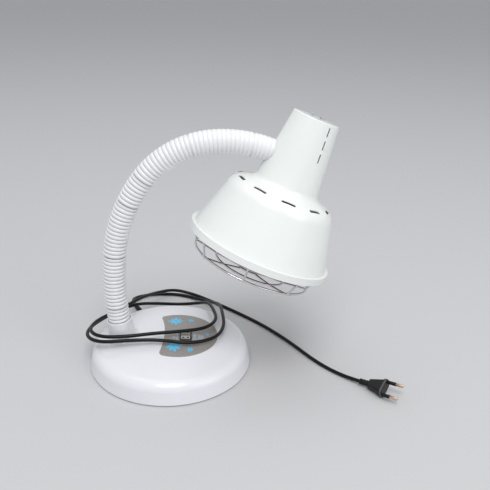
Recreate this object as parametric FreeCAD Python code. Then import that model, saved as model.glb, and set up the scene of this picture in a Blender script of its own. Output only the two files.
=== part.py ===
import FreeCAD, Part

import math
import os

# Free-standing infrared heat therapy lamp: a weighted dome base with a rocker switch, a
# corrugated gooseneck arm, a spun shade with a wire guard over a reflector bulb, and a
# mains cord that lies round the base in loose turns.
# Millimetres, +Z up.  The origin is the middle of the base on the table; +X runs from the
# arm's collar across the base to the side that the shade hangs over.

V = FreeCAD.Vector

# ------------------------------------------------------------------ driving dimensions
# base casing
BASE_RADIUS = 100.0
BASE_TOP = 36.5            # crown of the dome above the table
SHELL_STAND = 1.5          # shell's edge above the table
BAND_TOP = 15.5            # straight side band, up to its soft shoulder
BAND_RADIUS = 97.0
SHOULDER_ROUND = 15.0
SHELL_WALL = 2.5

# bottom plate, feet, screws and ballast
PLATE_THICKNESS = 2.0
PLATE_RECESS = 0.8         # plate's underside above the shell's edge
PLATE_GAP = 0.3
FOOT_RADIUS = 62.0         # rubber ring's middle, from the lamp's
FOOT_WIDTH = 14.0
FOOT_CHAMFER = 0.8
POST_RADIUS = 5.0          # moulded posts that take the bottom screws
POST_PITCH_RADIUS = 80.0
POST_COUNT = 4
POST_TURN = 45.0
SCREW_RADIUS = 1.75
SCREW_HEAD_RADIUS = 3.4
SCREW_HEAD_HEIGHT = 1.6
SCREW_LENGTH = 12.0
SCREW_GAP = 0.1
BALLAST_RADIUS = 70.0
BALLAST_THICKNESS = 10.0
BALLAST_CHAMFER = 1.5
BALLAST_WINDOW = 26.0      # square window under the switch
BALLAST_WINDOW_CORNER = 3.0

# gooseneck arm: its centre line is straight below the collar's rim, then bends in XZ
COLLAR_X = -62.2
COLLAR_RIM = 58.0
ARM_LEAN = -7.5            # first heading, degrees from +Z towards +X
ARM_BENDS = ((18, 13.5), (21, 31.0), (19, 48.0), (14, 27.0))  # ribs, degrees turned
RIB_PITCH = 4.83
CUP_RIBS = 1               # ribs hidden in the collar's cup
NECK_RIBS = 1              # ribs past the last bend, cut to saddle the shade's neck
LINK_RIBS = 7
FIRST_JOINT_RIB = 4
JOINT_COUNT = 10
SIDEWAYS_JOINTS = (1, 3, 6, 8)
RIB_CREST_RADIUS = 13.6
RIB_ROOT_RADIUS = 12.3
RIB_OVERRUN = 0.5          # each rib is made this much long, then mitred to the next
JOINT_GROOVE = 2.2         # open groove between two lengths of the sleeve
CORE_RADIUS = 6.0
BORE_GAP = 0.25            # core to sleeve and ferrules
KNUCKLE_RADIUS = 4.0
KNUCKLE_WIDTH = 7.0
KNUCKLE_GAP = 0.3
KNUCKLE_NECK = 6.0
CORE_SETBACK = 1.0         # square ends of the core either side of a pivot

# collar and the arm's end fittings
COLLAR_LIP_RADIUS = 15.2
COLLAR_LIP_ROUND = 0.5
COLLAR_FOOT_RADIUS = 16.8
COLLAR_FILLET = 8.0
COLLAR_CUP_GAP = 0.4
COLLAR_DEPTH = 33.0        # rim down to the seat of the lower locknut
BOSS_RADIUS = 14.0         # boss under the dome that the locknut draws on
FERRULE_RADIUS = 8.0
FERRULE_GAP = 0.15
FERRULE_FLANGE = 1.5
FERRULE_FLANGE_RADIUS = 12.0
FERRULE_REACH = 2.0        # ferrule past its locknut
NUT_FLATS = 21.0
NUT_THICKNESS = 4.0
SADDLE_RADIUS = 12.0
SADDLE_GAP = 0.2
SADDLE_FACE = 24.0         # saddle's flat face from the neck's axis
FERRULE_IN_SLEEVE = 44.0   # upper ferrule's start from the neck's axis

# rocker switch
SWITCH_X = 18.7
SWITCH_Y = -8.2
BEZEL_WIDTH = 15.2
BEZEL_LENGTH = 22.0
BEZEL_HEIGHT = 2.0
BEZEL_CORNER = 1.5
BEZEL_ROUND = 0.6
OPENING_WIDTH = 11.9
OPENING_LENGTH = 18.0
BODY_WALL = 0.9
BODY_DEPTH = 14.0
BODY_GAP = 0.2             # switch to the casing and the printed panel
POCKET_DEPTH = 6.5
ROCKER_END_GAP = 0.6
ROCKER_SIDE_GAP = 0.3
ROCKER_TILT = 6.0          # either side of level
ROCKER_CROWN = 3.4         # rocker's ends above the casing when level
ROCKER_DIP = 1.1
ROCKER_HEEL = 2.2
ROCKER_PIVOT = -0.8
PIN_RADIUS = 1.2
PIN_GAP = 0.05
PIN_REACH = 0.7
BLADE_THICKNESS = 0.8
BLADE_WIDTH = 4.8
BLADE_LENGTH = 7.0
BLADE_PITCH = 7.0

# printed panel round the switch
LABEL_X = 9.5
LABEL_RADIUS = 49.5
LABEL_BACK_X = -7.4
LABEL_BACK_RADIUS = 165.0
LABEL_CORNER = 6.0
LABEL_THICKNESS = 0.3

# mains lead through the casing's back wall, its clamp and terminal block
CORD_RADIUS = 2.2
EXIT_ANGLE = 115.0         # degrees from +X
EXIT_HEIGHT = 11.8
PAD_RADIUS = 7.3           # flat pad moulded on the wall round the exit
PAD_FACE = 100.0
PAD_DEPTH = 5.5
GLAND_RADIUS = 4.0
GLAND_GAP = 0.15
GLAND_FLANGE = 1.8
GLAND_FLANGE_RADIUS = 6.0
RELIEF_ROOT = 4.2
RELIEF_TIP = 2.9
RELIEF_LENGTH = 23.0
RELIEF_RINGS = 5
RELIEF_GROOVE = 0.7
CLAMP_RADIUS = 88.5        # clamp's distance from the lamp's middle
CLAMP_WIDTH = 6.0
CLAMP_LENGTH = 25.0
CLAMP_THICKNESS = 3.5
CLAMP_POST = 3.5
CLAMP_SPACING = 17.0
CLAMP_SCREW = 1.3
CLAMP_SCREW_LENGTH = 7.0
LEAD_GAP = 0.1
BLOCK_DISTANCE = 40.0      # terminal block's middle from the lamp's middle
BLOCK_DEPTH = 17.0
BLOCK_WIDTH = 28.0
BLOCK_HEIGHT = 13.0
BLOCK_WELL = 2.6
BLOCK_PITCH = 9.0
LEAD_RISE = 8.5            # lead's climb from the exit on to the ballast
LEAD_BEND = 80.0           # where it starts to climb, from the lamp's middle
LEAD_CREST = 66.0

# shade, in its own frame: origin at the middle of the rim, +Z up the neck, +X away from
# the arm; its neck stands square to the end of the arm
SHADE_ROLL = 4.7           # degrees about the end of the arm
SHADE_HEIGHT = 165.5
SHADE_WALL = 0.9
RIM_RADIUS = 86.1
RIM_BAND = 8.0
FLARE_RADIUS = 82.6
CREST_RADIUS = 62.5        # where the flare would meet the shoulder
CREST_HEIGHT = 72.6
CREST_ROUND = 20.0
NECK_FOOT_RADIUS = 38.4
NECK_FOOT_HEIGHT = 81.4
NECK_FOOT_ROUND = 10.0
NECK_TOP_RADIUS = 27.2
NECK_TOP_ROUND = 1.2
ARM_ON_NECK = 113.2        # arm's axis above the rim
NECK_REACH = 32.0          # end of the arm's last bend to the neck's axis
SHOULDER_SLOTS = 10
SHOULDER_SLOT_TURN = -94.0
SLOT_LENGTH = 17.0
SLOT_WIDTH = 3.8
SLOT_CIRCLE = 55.0
NECK_SLOT_COLUMNS = 2
NECK_SLOT_TURN = -64.5
NECK_SLOT_ROWS = 3
NECK_SLOT_LENGTH = 10.5
NECK_SLOT_WIDTH = 1.8
NECK_SLOT_PITCH = 14.7
NECK_SLOT_LOWEST = 127.5

# lampholder, hung from the neck's top in a stirrup
HOLDER_RADIUS = 18.3
HOLDER_ROUND = 2.5
HOLDER_FOOT = 90.0
HOLDER_TOP = 128.0
SOCKET_WALL = 0.5
SOCKET_GAP = 0.4           # bulb cap to the screw shell
SOCKET_SEAT = 0.1          # screw shell to the holder
SOCKET_MOUTH = 3.0         # screw shell above the holder's mouth
SOCKET_LENGTH = 26.0
NIPPLE_RADIUS = 5.0
NIPPLE_HEIGHT = 6.5
NIPPLE_GAP = 0.1
NIPPLE_NUT_FLATS = 13.0
NIPPLE_NUT_THICKNESS = 3.0
STRAP_LENGTH = 24.0
STRAP_WIDTH = 12.0
STRAP_THICKNESS = 1.5
HOLDER_SCREW_SPACING = 13.0
HOLDER_SCREW_RADIUS = 1.5
HOLDER_SCREW_HEAD = 2.6
HOLDER_SCREW_STAND = 5.5   # screw tips above the neck's top
HOLDER_NUT_FLATS = 5.5
HOLDER_NUT_THICKNESS = 2.4

# reflector bulb
BULB_RADIUS = 60.5
BULB_EDGE = -8.0           # joint of lens and reflector, from the rim's plane
LENS_RISE = 14.0
LENS_WALL = 2.0
BULB_WALL = 1.5
FLANGE_HEIGHT = 4.5
BOWL_RADIUS = 47.0
BOWL_HEIGHT = 42.0
BULB_NECK_RADIUS = 16.5
BULB_NECK_FOOT = 66.0
BULB_NECK_TOP = 84.0
CAP_RADIUS = 13.2
CAP_FOOT = 95.5
CAP_END = 117.5
CAP_CONE = 3.0
CONTACT_RADIUS = 4.5
STEM_RADIUS = 6.0
STEM_FOOT = 60.0
LEAD_WIRE_RADIUS = 0.6
FILAMENT_HEIGHT = 34.0
FILAMENT_SPREAD = 9.0
FILAMENT_RADIUS = 1.0

# wire guard: rings are (radius, height from the rim's plane), joined by spokes
WIRE_RADIUS = 1.1
GUARD_RIM = (82.9, 5.6)
GUARD_TURN = (80.3, -2.0)  # spokes turn over the shade's edge here
GUARD_RINGS = ((71.0, -20.5), (43.0, -25.0), (14.0, -27.0))
GUARD_SPOKES = 8
GUARD_FIRST = -105.0       # first spoke, degrees round the shade
RING_WIRE_RADIUS = 1.3
RING_LIFT = 1.0            # rings lie this far above the middle of the spokes
CLIP_COUNT = 4
CLIP_LENGTH = 8.0
CLIP_DEPTH = 4.7
CLIP_THICKNESS = 1.0
CLIP_GAP = 0.3

# cord: points of its route on the table and over the base, two turns and a tail
CORD_POINTS = (
    (-61.0, 131.0, 11.8), (-55.0, 153.0, 5.6), (-30.0, 168.0, 2.4), (6.0, 166.0, 2.4),
    (38.0, 147.0, 3.4), (58.0, 117.0, 14.0), (65.0, 84.0, 30.0), (67.0, 48.0, 36.4),
    (68.0, 12.0, 37.2), (56.0, -19.0, 39.2), (24.0, -33.5, 41.2), (-12.0, -25.5, 42.6),
    (-48.0, -25.5, 42.6), (-84.0, -25.0, 39.8), (-103.0, -6.0, 36.0), (-104.0, 20.0, 33.5),
    (-90.0, 48.0, 31.0), (-70.0, 75.0, 28.5), (-50.0, 101.0, 23.0), (-25.0, 127.0, 8.5),
    (8.0, 134.0, 2.6), (36.0, 120.0, 12.0), (49.0, 91.0, 29.5), (55.0, 58.0, 37.2),
    (59.0, 25.0, 40.0), (45.0, 0.0, 42.4), (14.0, -10.0, 44.4), (-21.0, -15.5, 45.6),
    (-54.0, -21.8, 45.4), (-86.0, -20.0, 44.6), (-101.0, 1.0, 42.4), (-95.0, 28.0, 39.5),
    (-79.0, 53.0, 35.6), (-61.0, 78.0, 33.5), (-43.0, 111.0, 28.5), (-25.0, 147.0, 16.0),
    (0.0, 171.0, 8.0), (31.0, 164.0, 2.3), (62.0, 136.0, 2.3), (95.0, 104.0, 2.3),
    (127.0, 69.0, 2.3), (157.0, 26.0, 2.3), (184.0, -22.0, 2.3))

# two-pin plug on the table, its axis from the cord towards the pins
PLUG_TAIL = V(228.4, -67.0, 5.2)
PLUG_FACE = V(253.0, -88.0, 9.3)
PLUG_ROLL = V(0.574, 0.738, 0.355)   # from the lower pin to the higher
PLUG_LAST_RUN = 22.0                 # cord's straight run into the plug
PLUG_RELIEF = 12.0
PLUG_RELIEF_RADIUS = 3.6
PLUG_RELIEF_GROOVE = 2.7
PLUG_RELIEF_RINGS = 3
PLUG_FLANGE_WIDTH = 22.0
PLUG_FLANGE_HEIGHT = 12.5
PLUG_FLANGE = 4.0
PLUG_CORNER = 4.0
PLUG_BODY_STEP = 1.0       # body in from the flange all round
PLUG_TAIL_WIDTH = 11.0
PLUG_TAIL_HEIGHT = 9.0
PIN_SPACING = 19.0
PLUG_PIN_RADIUS = 2.0
PLUG_PIN_LENGTH = 19.0
PLUG_PIN_ROUND = 1.0


# ------------------------------------------------------------------ shape helpers
def out(shape, name):
    """Write one piece and say what it measures."""
    shape.exportStep("parts/%s.step" % name)
    box = shape.BoundBox
    print("%-18s solids %2d  volume %9.1f  valid %s  z %6.1f..%6.1f" % (
        name, len(shape.Solids), shape.Volume, shape.isValid(), box.ZMin, box.ZMax))


def line(a, b):
    return Part.LineSegment(a, b).toShape()


def rounded(points):
    """Edges of an open outline in XZ through (x, z) points; a third number rounds a corner."""
    edges = []
    here = V(points[0][0], 0, points[0][1])
    for i in range(1, len(points)):
        corner = V(points[i][0], 0, points[i][1])
        radius = points[i][2] if len(points[i]) == 3 else 0.0
        if radius:
            before = V(points[i - 1][0], 0, points[i - 1][1])
            after = V(points[i + 1][0], 0, points[i + 1][1])
            start, through, end = corner_arc(before, corner, after, radius)
            edges.append(line(here, start))
            edges.append(Part.Arc(start, through, end).toShape())
            here = end
        else:
            edges.append(line(here, corner))
            here = corner
    return edges


def corner_arc(before, corner, after, radius):
    """Start, middle and end of the arc that rounds a corner."""
    back = (before - corner).normalize()
    onward = (after - corner).normalize()
    half = back.getAngle(onward) / 2
    reach = radius / math.tan(half)
    middle = (back + onward).normalize()
    through = corner + middle * (radius / math.sin(half) - radius)
    return corner + back * reach, through, corner + onward * reach


def inset(points, wall):
    """The outline moved by wall to the left of the way along, its corner rounds with it."""
    moved = []
    for i in range(len(points)):
        ways = []
        for a, b in ((i - 1, i), (i, i + 1)):
            if a >= 0 and b < len(points):
                way = V(points[b][0] - points[a][0], 0, points[b][1] - points[a][1])
                ways.append(way.normalize())
        sides = [V(-way.z, 0, way.x) for way in ways]
        middle = (sides[0] + sides[-1]).normalize()
        spot = V(points[i][0], 0, points[i][1]) + middle * (wall / middle.dot(sides[0]))
        entry = (spot.x, spot.z)
        if len(points[i]) == 3:
            left_turn = ways[0].x * ways[1].z - ways[0].z * ways[1].x > 0
            entry += (points[i][2] - wall if left_turn else points[i][2] + wall,)
        moved.append(entry)
    return moved


def revolved(edges):
    """A solid turned about Z from an open outline, which is closed along the axis."""
    wire = Part.Wire(edges)
    ends = [v.Point for v in wire.OrderedVertexes]
    if not wire.isClosed():
        corners = [ends[-1], V(0, 0, ends[-1].z), V(0, 0, ends[0].z), ends[0]]
        closing = [line(a, b) for a, b in zip(corners, corners[1:]) if (b - a).Length > 1e-6]
        wire = Part.Wire(edges + closing)
    return Part.Face(wire).revolve(V(0, 0, 0), V(0, 0, 1), 360)


def tube(outer, inner, low, high):
    solid = Part.makeCylinder(outer, high - low, V(0, 0, low))
    return solid.cut(Part.makeCylinder(inner, high - low + 2, V(0, 0, low - 1)))


def block(x_size, y_size, low, high, corner=0.0):
    """A box about Z from low to high, its upright edges rounded."""
    box = Part.makeBox(x_size, y_size, high - low, V(-x_size / 2, -y_size / 2, low))
    if corner:
        upright = [e for e in box.Edges if e.BoundBox.ZLength > (high - low) / 2]
        box = box.makeFillet(corner, upright)
    return box


def nut(flats, bore, low, high):
    """A hexagon nut about Z."""
    reach = flats / math.sqrt(3)
    corners = [polar(reach, angle, low) for angle in around(6)]
    hexagon = Part.Face(Part.makePolygon(corners + corners[:1])).extrude(V(0, 0, high - low))
    return hexagon.cut(Part.makeCylinder(bore, high - low + 2, V(0, 0, low - 1)))


def headed_screw(shank, head, head_height, length):
    """A pan-head screw: its head below the origin and its shank up Z."""
    bevel = head_height / 2
    return revolved(rounded([(0, -head_height), (head - bevel, -head_height), (head, -bevel),
                             (head, 0), (shank, 0), (shank, length), (0, length)]))


def seated(shape, origin, up, forward):
    """A copy placed with its origin at origin, its Z along up and its X towards forward."""
    z = V(up).normalize()
    y = z.cross(forward).normalize()
    x = y.cross(z)
    matrix = FreeCAD.Matrix(x.x, y.x, z.x, origin.x, x.y, y.y, z.y, origin.y,
                            x.z, y.z, z.z, origin.z, 0, 0, 0, 1)
    return shape.transformed(matrix, True)


def group(shapes):
    return Part.makeCompound([solid for shape in shapes for solid in shape.Solids])


def around(count, first=0.0):
    """Angles in degrees of count places spread evenly round Z."""
    return [first + 360.0 * k / count for k in range(count)]


def polar(radius, degrees, z=0.0):
    return V(radius * math.cos(math.radians(degrees)), radius * math.sin(math.radians(degrees)), z)


def spun(shape, degrees):
    copy = shape.copy()
    copy.rotate(V(0, 0, 0), V(0, 0, 1), degrees)
    return copy


def beyond(point, way):
    """A block past the plane through point that is square to way, to trim with."""
    size = 2 * BASE_RADIUS
    return seated(block(size, size, 0, size), point, way, V(0, 1, 0))


def rod(points, radius):
    """A round rod along straight runs, mitred where they meet."""
    spine = Part.Wire([line(a, b) for a, b in zip(points, points[1:])])
    ring = Part.Wire(Part.Circle(points[0], points[1] - points[0], radius).toShape())
    return spine.makePipeShell([ring], True, False, 1)


def slot_plug(length, width, low, high):
    """A round-ended slot's plug about Z, its long side along X."""
    straight = length - width
    plug = block(straight, width, low, high)
    for side in (-1, 1):
        end = Part.makeCylinder(width / 2, high - low, V(side * straight / 2, 0, low))
        plug = plug.fuse(end)
    return plug


def ring_piece(inner, outer, low, high, length, radius):
    """A length of a flat ring about Z, centred on +X and length long at radius."""
    corners = [V(inner, 0, low), V(outer, 0, low), V(outer, 0, high), V(inner, 0, high)]
    face = Part.Face(Part.makePolygon(corners + corners[:1]))
    spread = math.degrees(length / radius)
    return spun(face.revolve(V(0, 0, 0), V(0, 0, 1), spread), -spread / 2)


# ------------------------------------------------------------------ arm's centre line
ARM_RIBS = sum(ribs for ribs, turn in ARM_BENDS)
ARM_LENGTH = ARM_RIBS * RIB_PITCH
RIB_SLOPE = 2 * (RIB_CREST_RADIUS - RIB_ROOT_RADIUS) / RIB_PITCH
SIDE = V(0, 1, 0)          # square to the arm's plane


def arm_station(s):
    """Point and direction on the arm's centre line, s along it from the collar's rim."""
    heading = math.radians(ARM_LEAN)
    here = V(COLLAR_X, 0, COLLAR_RIM)
    left = s
    for ribs, turn in ARM_BENDS:
        if left > 0:
            radius = ribs * RIB_PITCH / math.radians(turn)
            angle = min(left / radius, math.radians(turn))
            here += V(math.cos(heading) - math.cos(heading + angle), 0,
                      math.sin(heading + angle) - math.sin(heading)) * radius
            heading += angle
            left -= radius * angle
    way = V(math.sin(heading), 0, math.cos(heading))
    return here + way * left, way


def joint_rib(k):
    return FIRST_JOINT_RIB + LINK_RIBS * k


def joint_place(k):
    """Pivot, arm direction and hinge axis of the gooseneck's joint k."""
    point, way = arm_station(joint_rib(k) * RIB_PITCH)
    axis = SIDE.cross(way) if k in SIDEWAYS_JOINTS else SIDE
    return point, way, axis


COLLAR_CENTRE, COLLAR_UP = arm_station(0)
ARM_END, ARM_END_WAY = arm_station(ARM_LENGTH)
_square = ARM_END_WAY.cross(SIDE)
NECK_UP = (_square * math.cos(math.radians(SHADE_ROLL))
           + SIDE * math.sin(math.radians(SHADE_ROLL)))
NECK_CENTRE = ARM_END + ARM_END_WAY * NECK_REACH
RIM_CENTRE = NECK_CENTRE - NECK_UP * ARM_ON_NECK
CUP_DEPTH = CUP_RIBS * RIB_PITCH + FERRULE_FLANGE
LOWER_FERRULE_END = COLLAR_DEPTH + NUT_THICKNESS + FERRULE_REACH
UPPER_FERRULE_END = SADDLE_FACE - NUT_THICKNESS - 0.5


def in_collar(shape):
    """Place a shape with its origin in the middle of the collar's rim and its Z upwards."""
    return seated(shape, COLLAR_CENTRE, COLLAR_UP, SIDE)


def in_neck(shape):
    """Place a shape with its origin on the neck's axis and its Z along the arm's end."""
    return seated(shape, NECK_CENTRE, ARM_END_WAY, NECK_UP)


def in_head(shape):
    """Place a shape made in the shade's own frame."""
    return seated(shape, RIM_CENTRE, NECK_UP, ARM_END_WAY)


# ------------------------------------------------------------------ base casing
BAND_WAY = V(BAND_RADIUS - BASE_RADIUS, 0, BAND_TOP - SHELL_STAND).normalize()
BAND_INWARD = V(-BAND_WAY.z, 0, BAND_WAY.x)
SHOULDER_CENTRE = V(BAND_RADIUS, 0, BAND_TOP) + BAND_INWARD * SHOULDER_ROUND
_drop = SHOULDER_CENTRE.z - BASE_TOP
DOME_RADIUS = ((SHOULDER_CENTRE.x ** 2 + _drop ** 2 - SHOULDER_ROUND ** 2)
               / (-2 * _drop - 2 * SHOULDER_ROUND))
DOME_CENTRE = V(0, 0, BASE_TOP - DOME_RADIUS)
PLATE_FLOOR = SHELL_STAND + PLATE_RECESS
PLATE_TOP = PLATE_FLOOR + PLATE_THICKNESS
BALLAST_TOP = PLATE_TOP + BALLAST_THICKNESS


def band_radius(height, inward=0.0):
    """Radius of the casing's straight band, or of the face inward inside it."""
    return (BASE_RADIUS + (height - SHELL_STAND) * BAND_WAY.x / BAND_WAY.z
            + inward / BAND_INWARD.x)


def casing(inward, low):
    """The base's solid form from low up: band, shoulder and dome, moved in by inward."""
    shoulder = SHOULDER_ROUND - inward
    band = SHOULDER_CENTRE - BAND_INWARD * shoulder
    outward = (SHOULDER_CENTRE - DOME_CENTRE).normalize()
    edge = SHOULDER_CENTRE + outward * shoulder
    shoulder_middle = SHOULDER_CENTRE + (outward - BAND_INWARD).normalize() * shoulder
    dome_middle = DOME_CENTRE + (outward + V(0, 0, 1)).normalize() * (DOME_RADIUS - inward)
    return revolved([line(V(band_radius(low, inward), 0, low), band),
                     Part.Arc(band, shoulder_middle, edge).toShape(),
                     Part.Arc(edge, dome_middle, V(0, 0, BASE_TOP - inward)).toShape()])


def screw_places():
    return [polar(POST_PITCH_RADIUS, angle) for angle in around(POST_COUNT, POST_TURN)]


def base_shell():
    """Casing with the arm's collar, the switch window, screw posts and the cord's exit."""
    collar = revolved(rounded([(COLLAR_FOOT_RADIUS, -COLLAR_DEPTH),
                               (COLLAR_LIP_RADIUS, 0, COLLAR_LIP_ROUND), (0, 0)]))
    solid = casing(0, SHELL_STAND).fuse(in_collar(collar))
    foot = [e for e in solid.Edges
            if abs((e.CenterOfMass - COLLAR_CENTRE).dot(COLLAR_UP)) > COLLAR_DEPTH / 2
            and e.BoundBox.DiagonalLength < 4 * COLLAR_FOOT_RADIUS
            and e.BoundBox.DiagonalLength > COLLAR_FOOT_RADIUS]
    solid = solid.makeFillet(COLLAR_FILLET, foot)
    pad = Part.makeCylinder(PAD_RADIUS, PAD_DEPTH)
    pad = in_exit(pad, PAD_FACE - PAD_DEPTH)
    hollow = casing(SHELL_WALL, SHELL_STAND - 1)
    hollow = hollow.cut(in_collar(Part.makeCylinder(BOSS_RADIUS, COLLAR_DEPTH,
                                                    V(0, 0, -COLLAR_DEPTH))))
    hollow = hollow.cut(pad)
    for place in screw_places():
        post = Part.makeCylinder(POST_RADIUS, BASE_TOP, place + V(0, 0, PLATE_TOP))
        hollow = hollow.cut(post)
    solid = solid.fuse(pad).cut(hollow)
    solid = solid.cut(in_collar(Part.makeCylinder(RIB_CREST_RADIUS + COLLAR_CUP_GAP, COLLAR_DEPTH,
                                                  V(0, 0, -CUP_DEPTH))))
    solid = solid.cut(in_collar(Part.makeCylinder(FERRULE_RADIUS + FERRULE_GAP, 2 * COLLAR_DEPTH,
                                                  V(0, 0, -2 * COLLAR_DEPTH))))
    for place in screw_places():
        pilot = Part.makeCylinder(SCREW_RADIUS + SCREW_GAP, SCREW_LENGTH + SCREW_GAP,
                                  place + V(0, 0, PLATE_FLOOR))
        solid = solid.cut(pilot)
    window = block(BODY_WIDTH + 2 * BODY_GAP, BODY_LENGTH + 2 * BODY_GAP, -BODY_DEPTH, BODY_DEPTH)
    solid = solid.cut(in_switch(window))
    gland = Part.makeCylinder(GLAND_RADIUS + GLAND_GAP, 2 * PAD_DEPTH)
    spot_face = Part.makeCylinder(GLAND_FLANGE_RADIUS + GLAND_GAP, PAD_DEPTH)
    solid = solid.cut(in_exit(gland, PAD_FACE - 1.5 * PAD_DEPTH))
    return solid.cut(in_exit(spot_face, PAD_FACE - 2 * PAD_DEPTH))


def label_plate():
    """Thin printed panel: a disc on the dome, cut back in a hollow curve towards the arm."""
    disc = Part.makeCylinder(LABEL_RADIUS, 2 * BASE_TOP, V(LABEL_X, 0, 0))
    back = Part.makeCylinder(LABEL_BACK_RADIUS, 2 * BASE_TOP,
                             V(LABEL_BACK_X - LABEL_BACK_RADIUS, 0, 0))
    prism = disc.cut(back)
    corners = [e for e in prism.Edges
               if e.BoundBox.ZLength > BASE_TOP and abs(e.CenterOfMass.y) > LABEL_RADIUS / 2]
    prism = prism.makeFillet(LABEL_CORNER, corners)
    skin = casing(-LABEL_THICKNESS, SHELL_STAND).cut(casing(0, 0))
    window = block(BEZEL_WIDTH + 2 * BODY_GAP, BEZEL_LENGTH + 2 * BODY_GAP,
                   -BEZEL_HEIGHT, BEZEL_HEIGHT, BEZEL_CORNER)
    return skin.common(prism).cut(in_switch(window))


def bottom_plate():
    """Flat cover under the shell, with two posts for the lead's clamp."""
    edge = band_radius(PLATE_TOP, SHELL_WALL) - PLATE_GAP
    plate = Part.makeCylinder(edge, PLATE_THICKNESS, V(0, 0, PLATE_FLOOR))
    for place in screw_places():
        plate = plate.cut(Part.makeCylinder(SCREW_RADIUS + SCREW_GAP, BASE_TOP, place))
    for place in clamp_places():
        post = Part.makeCylinder(CLAMP_POST, EXIT_HEIGHT - PLATE_TOP, place + V(0, 0, PLATE_TOP))
        pilot = Part.makeCylinder(CLAMP_SCREW + SCREW_GAP, BASE_TOP, place + V(0, 0, PLATE_TOP))
        plate = plate.fuse(post).cut(pilot)
    return plate


def ballast_weight():
    """Iron disc on the bottom plate, with a window for the switch's terminals."""
    disc = Part.makeCylinder(BALLAST_RADIUS, BALLAST_THICKNESS, V(0, 0, PLATE_TOP))
    rims = [e for e in disc.Edges if e.BoundBox.ZLength < BALLAST_THICKNESS / 2]
    disc = disc.makeChamfer(BALLAST_CHAMFER, rims)
    window = block(BALLAST_WINDOW, BALLAST_WINDOW, 0, BASE_TOP, BALLAST_WINDOW_CORNER)
    return disc.cut(window.translated(V(SWITCH_X, SWITCH_Y, 0)))


def foot_ring():
    """Flat rubber ring under the bottom plate that the lamp stands on."""
    inner = FOOT_RADIUS - FOOT_WIDTH / 2
    outer = FOOT_RADIUS + FOOT_WIDTH / 2
    return revolved(rounded([(inner, PLATE_FLOOR), (inner, FOOT_CHAMFER),
                             (inner + FOOT_CHAMFER, 0), (outer - FOOT_CHAMFER, 0),
                             (outer, FOOT_CHAMFER), (outer, PLATE_FLOOR),
                             (inner, PLATE_FLOOR)]))


def bottom_screws():
    screw = headed_screw(SCREW_RADIUS, SCREW_HEAD_RADIUS, SCREW_HEAD_HEIGHT, SCREW_LENGTH)
    return group([screw.translated(p + V(0, 0, PLATE_FLOOR)) for p in screw_places()])


# ------------------------------------------------------------------ rocker switch
BODY_WIDTH = OPENING_WIDTH + 2 * BODY_WALL
BODY_LENGTH = OPENING_LENGTH + 2 * BODY_WALL


def in_switch(shape):
    """Place a shape with its origin on the dome at the switch, its Z along the dome's normal."""
    point = V(SWITCH_X, SWITCH_Y, 0)
    point.z = DOME_CENTRE.z + math.sqrt(DOME_RADIUS ** 2 - SWITCH_X ** 2 - SWITCH_Y ** 2)
    return seated(shape, point, point - DOME_CENTRE, V(1, 0, 0))


def switch_housing():
    """Snap-in body with a rounded bezel, open at the top for the rocker."""
    bezel = block(BEZEL_WIDTH, BEZEL_LENGTH, 0, BEZEL_HEIGHT, BEZEL_CORNER)
    brow = [e for e in bezel.Edges if e.BoundBox.ZMin > BEZEL_HEIGHT / 2]
    bezel = bezel.makeFillet(BEZEL_ROUND, brow)
    body = block(BODY_WIDTH, BODY_LENGTH, -BODY_DEPTH, BEZEL_HEIGHT / 2).fuse(bezel)
    body = body.cut(block(OPENING_WIDTH, OPENING_LENGTH, -POCKET_DEPTH, 2 * BEZEL_HEIGHT))
    hole = Part.makeCylinder(PIN_RADIUS + PIN_GAP, 2 * BODY_WIDTH,
                             V(-BODY_WIDTH, 0, ROCKER_PIVOT), V(1, 0, 0))
    return in_switch(body.cut(hole))


def switch_terminals():
    blade = block(BLADE_THICKNESS, BLADE_WIDTH, -BODY_DEPTH - BLADE_LENGTH, -BODY_DEPTH)
    return group([in_switch(blade.translated(V(0, side * BLADE_PITCH / 2, 0)))
                  for side in (-1, 1)])


def rocker():
    """See-saw key with a dished top, tipped to one side about the pins in its flanks."""
    half = OPENING_LENGTH / 2 - ROCKER_END_GAP
    width = OPENING_WIDTH - 2 * ROCKER_SIDE_GAP
    left = V(0, -half, ROCKER_CROWN)
    right = V(0, half, ROCKER_CROWN)
    low = [right, V(0, half, -ROCKER_HEEL), V(0, half / 3, -2 * ROCKER_HEEL),
           V(0, -half / 3, -2 * ROCKER_HEEL), V(0, -half, -ROCKER_HEEL), left]
    edges = [Part.Arc(left, V(0, 0, ROCKER_CROWN - ROCKER_DIP), right).toShape()]
    edges += [line(a, b) for a, b in zip(low, low[1:])]
    key = Part.Face(Part.Wire(edges)).extrude(V(width, 0, 0)).translated(V(-width / 2, 0, 0))
    pin_length = width + 2 * (ROCKER_SIDE_GAP + PIN_REACH)
    pin = Part.makeCylinder(PIN_RADIUS, pin_length, V(-pin_length / 2, 0, ROCKER_PIVOT),
                            V(1, 0, 0))
    key = key.fuse(pin)
    key.rotate(V(0, 0, ROCKER_PIVOT), V(1, 0, 0), ROCKER_TILT)
    return in_switch(key)


# ------------------------------------------------------------------ mains lead in the base
EXIT_WAY = polar(1.0, EXIT_ANGLE)
EXIT_ACROSS = EXIT_WAY.cross(V(0, 0, 1))
GLAND_INNER = PAD_FACE - PAD_DEPTH - GLAND_FLANGE
RELIEF_END = PAD_FACE + GLAND_FLANGE + RELIEF_LENGTH


def in_exit(shape, distance):
    """Place a shape with its Z along the lead's way out, distance from the lamp's middle."""
    return seated(shape, EXIT_WAY * distance + V(0, 0, EXIT_HEIGHT), EXIT_WAY, V(0, 0, 1))


def clamp_places():
    return [EXIT_WAY * CLAMP_RADIUS + EXIT_ACROSS * (side * CLAMP_SPACING / 2)
            for side in (-1, 1)]


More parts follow.
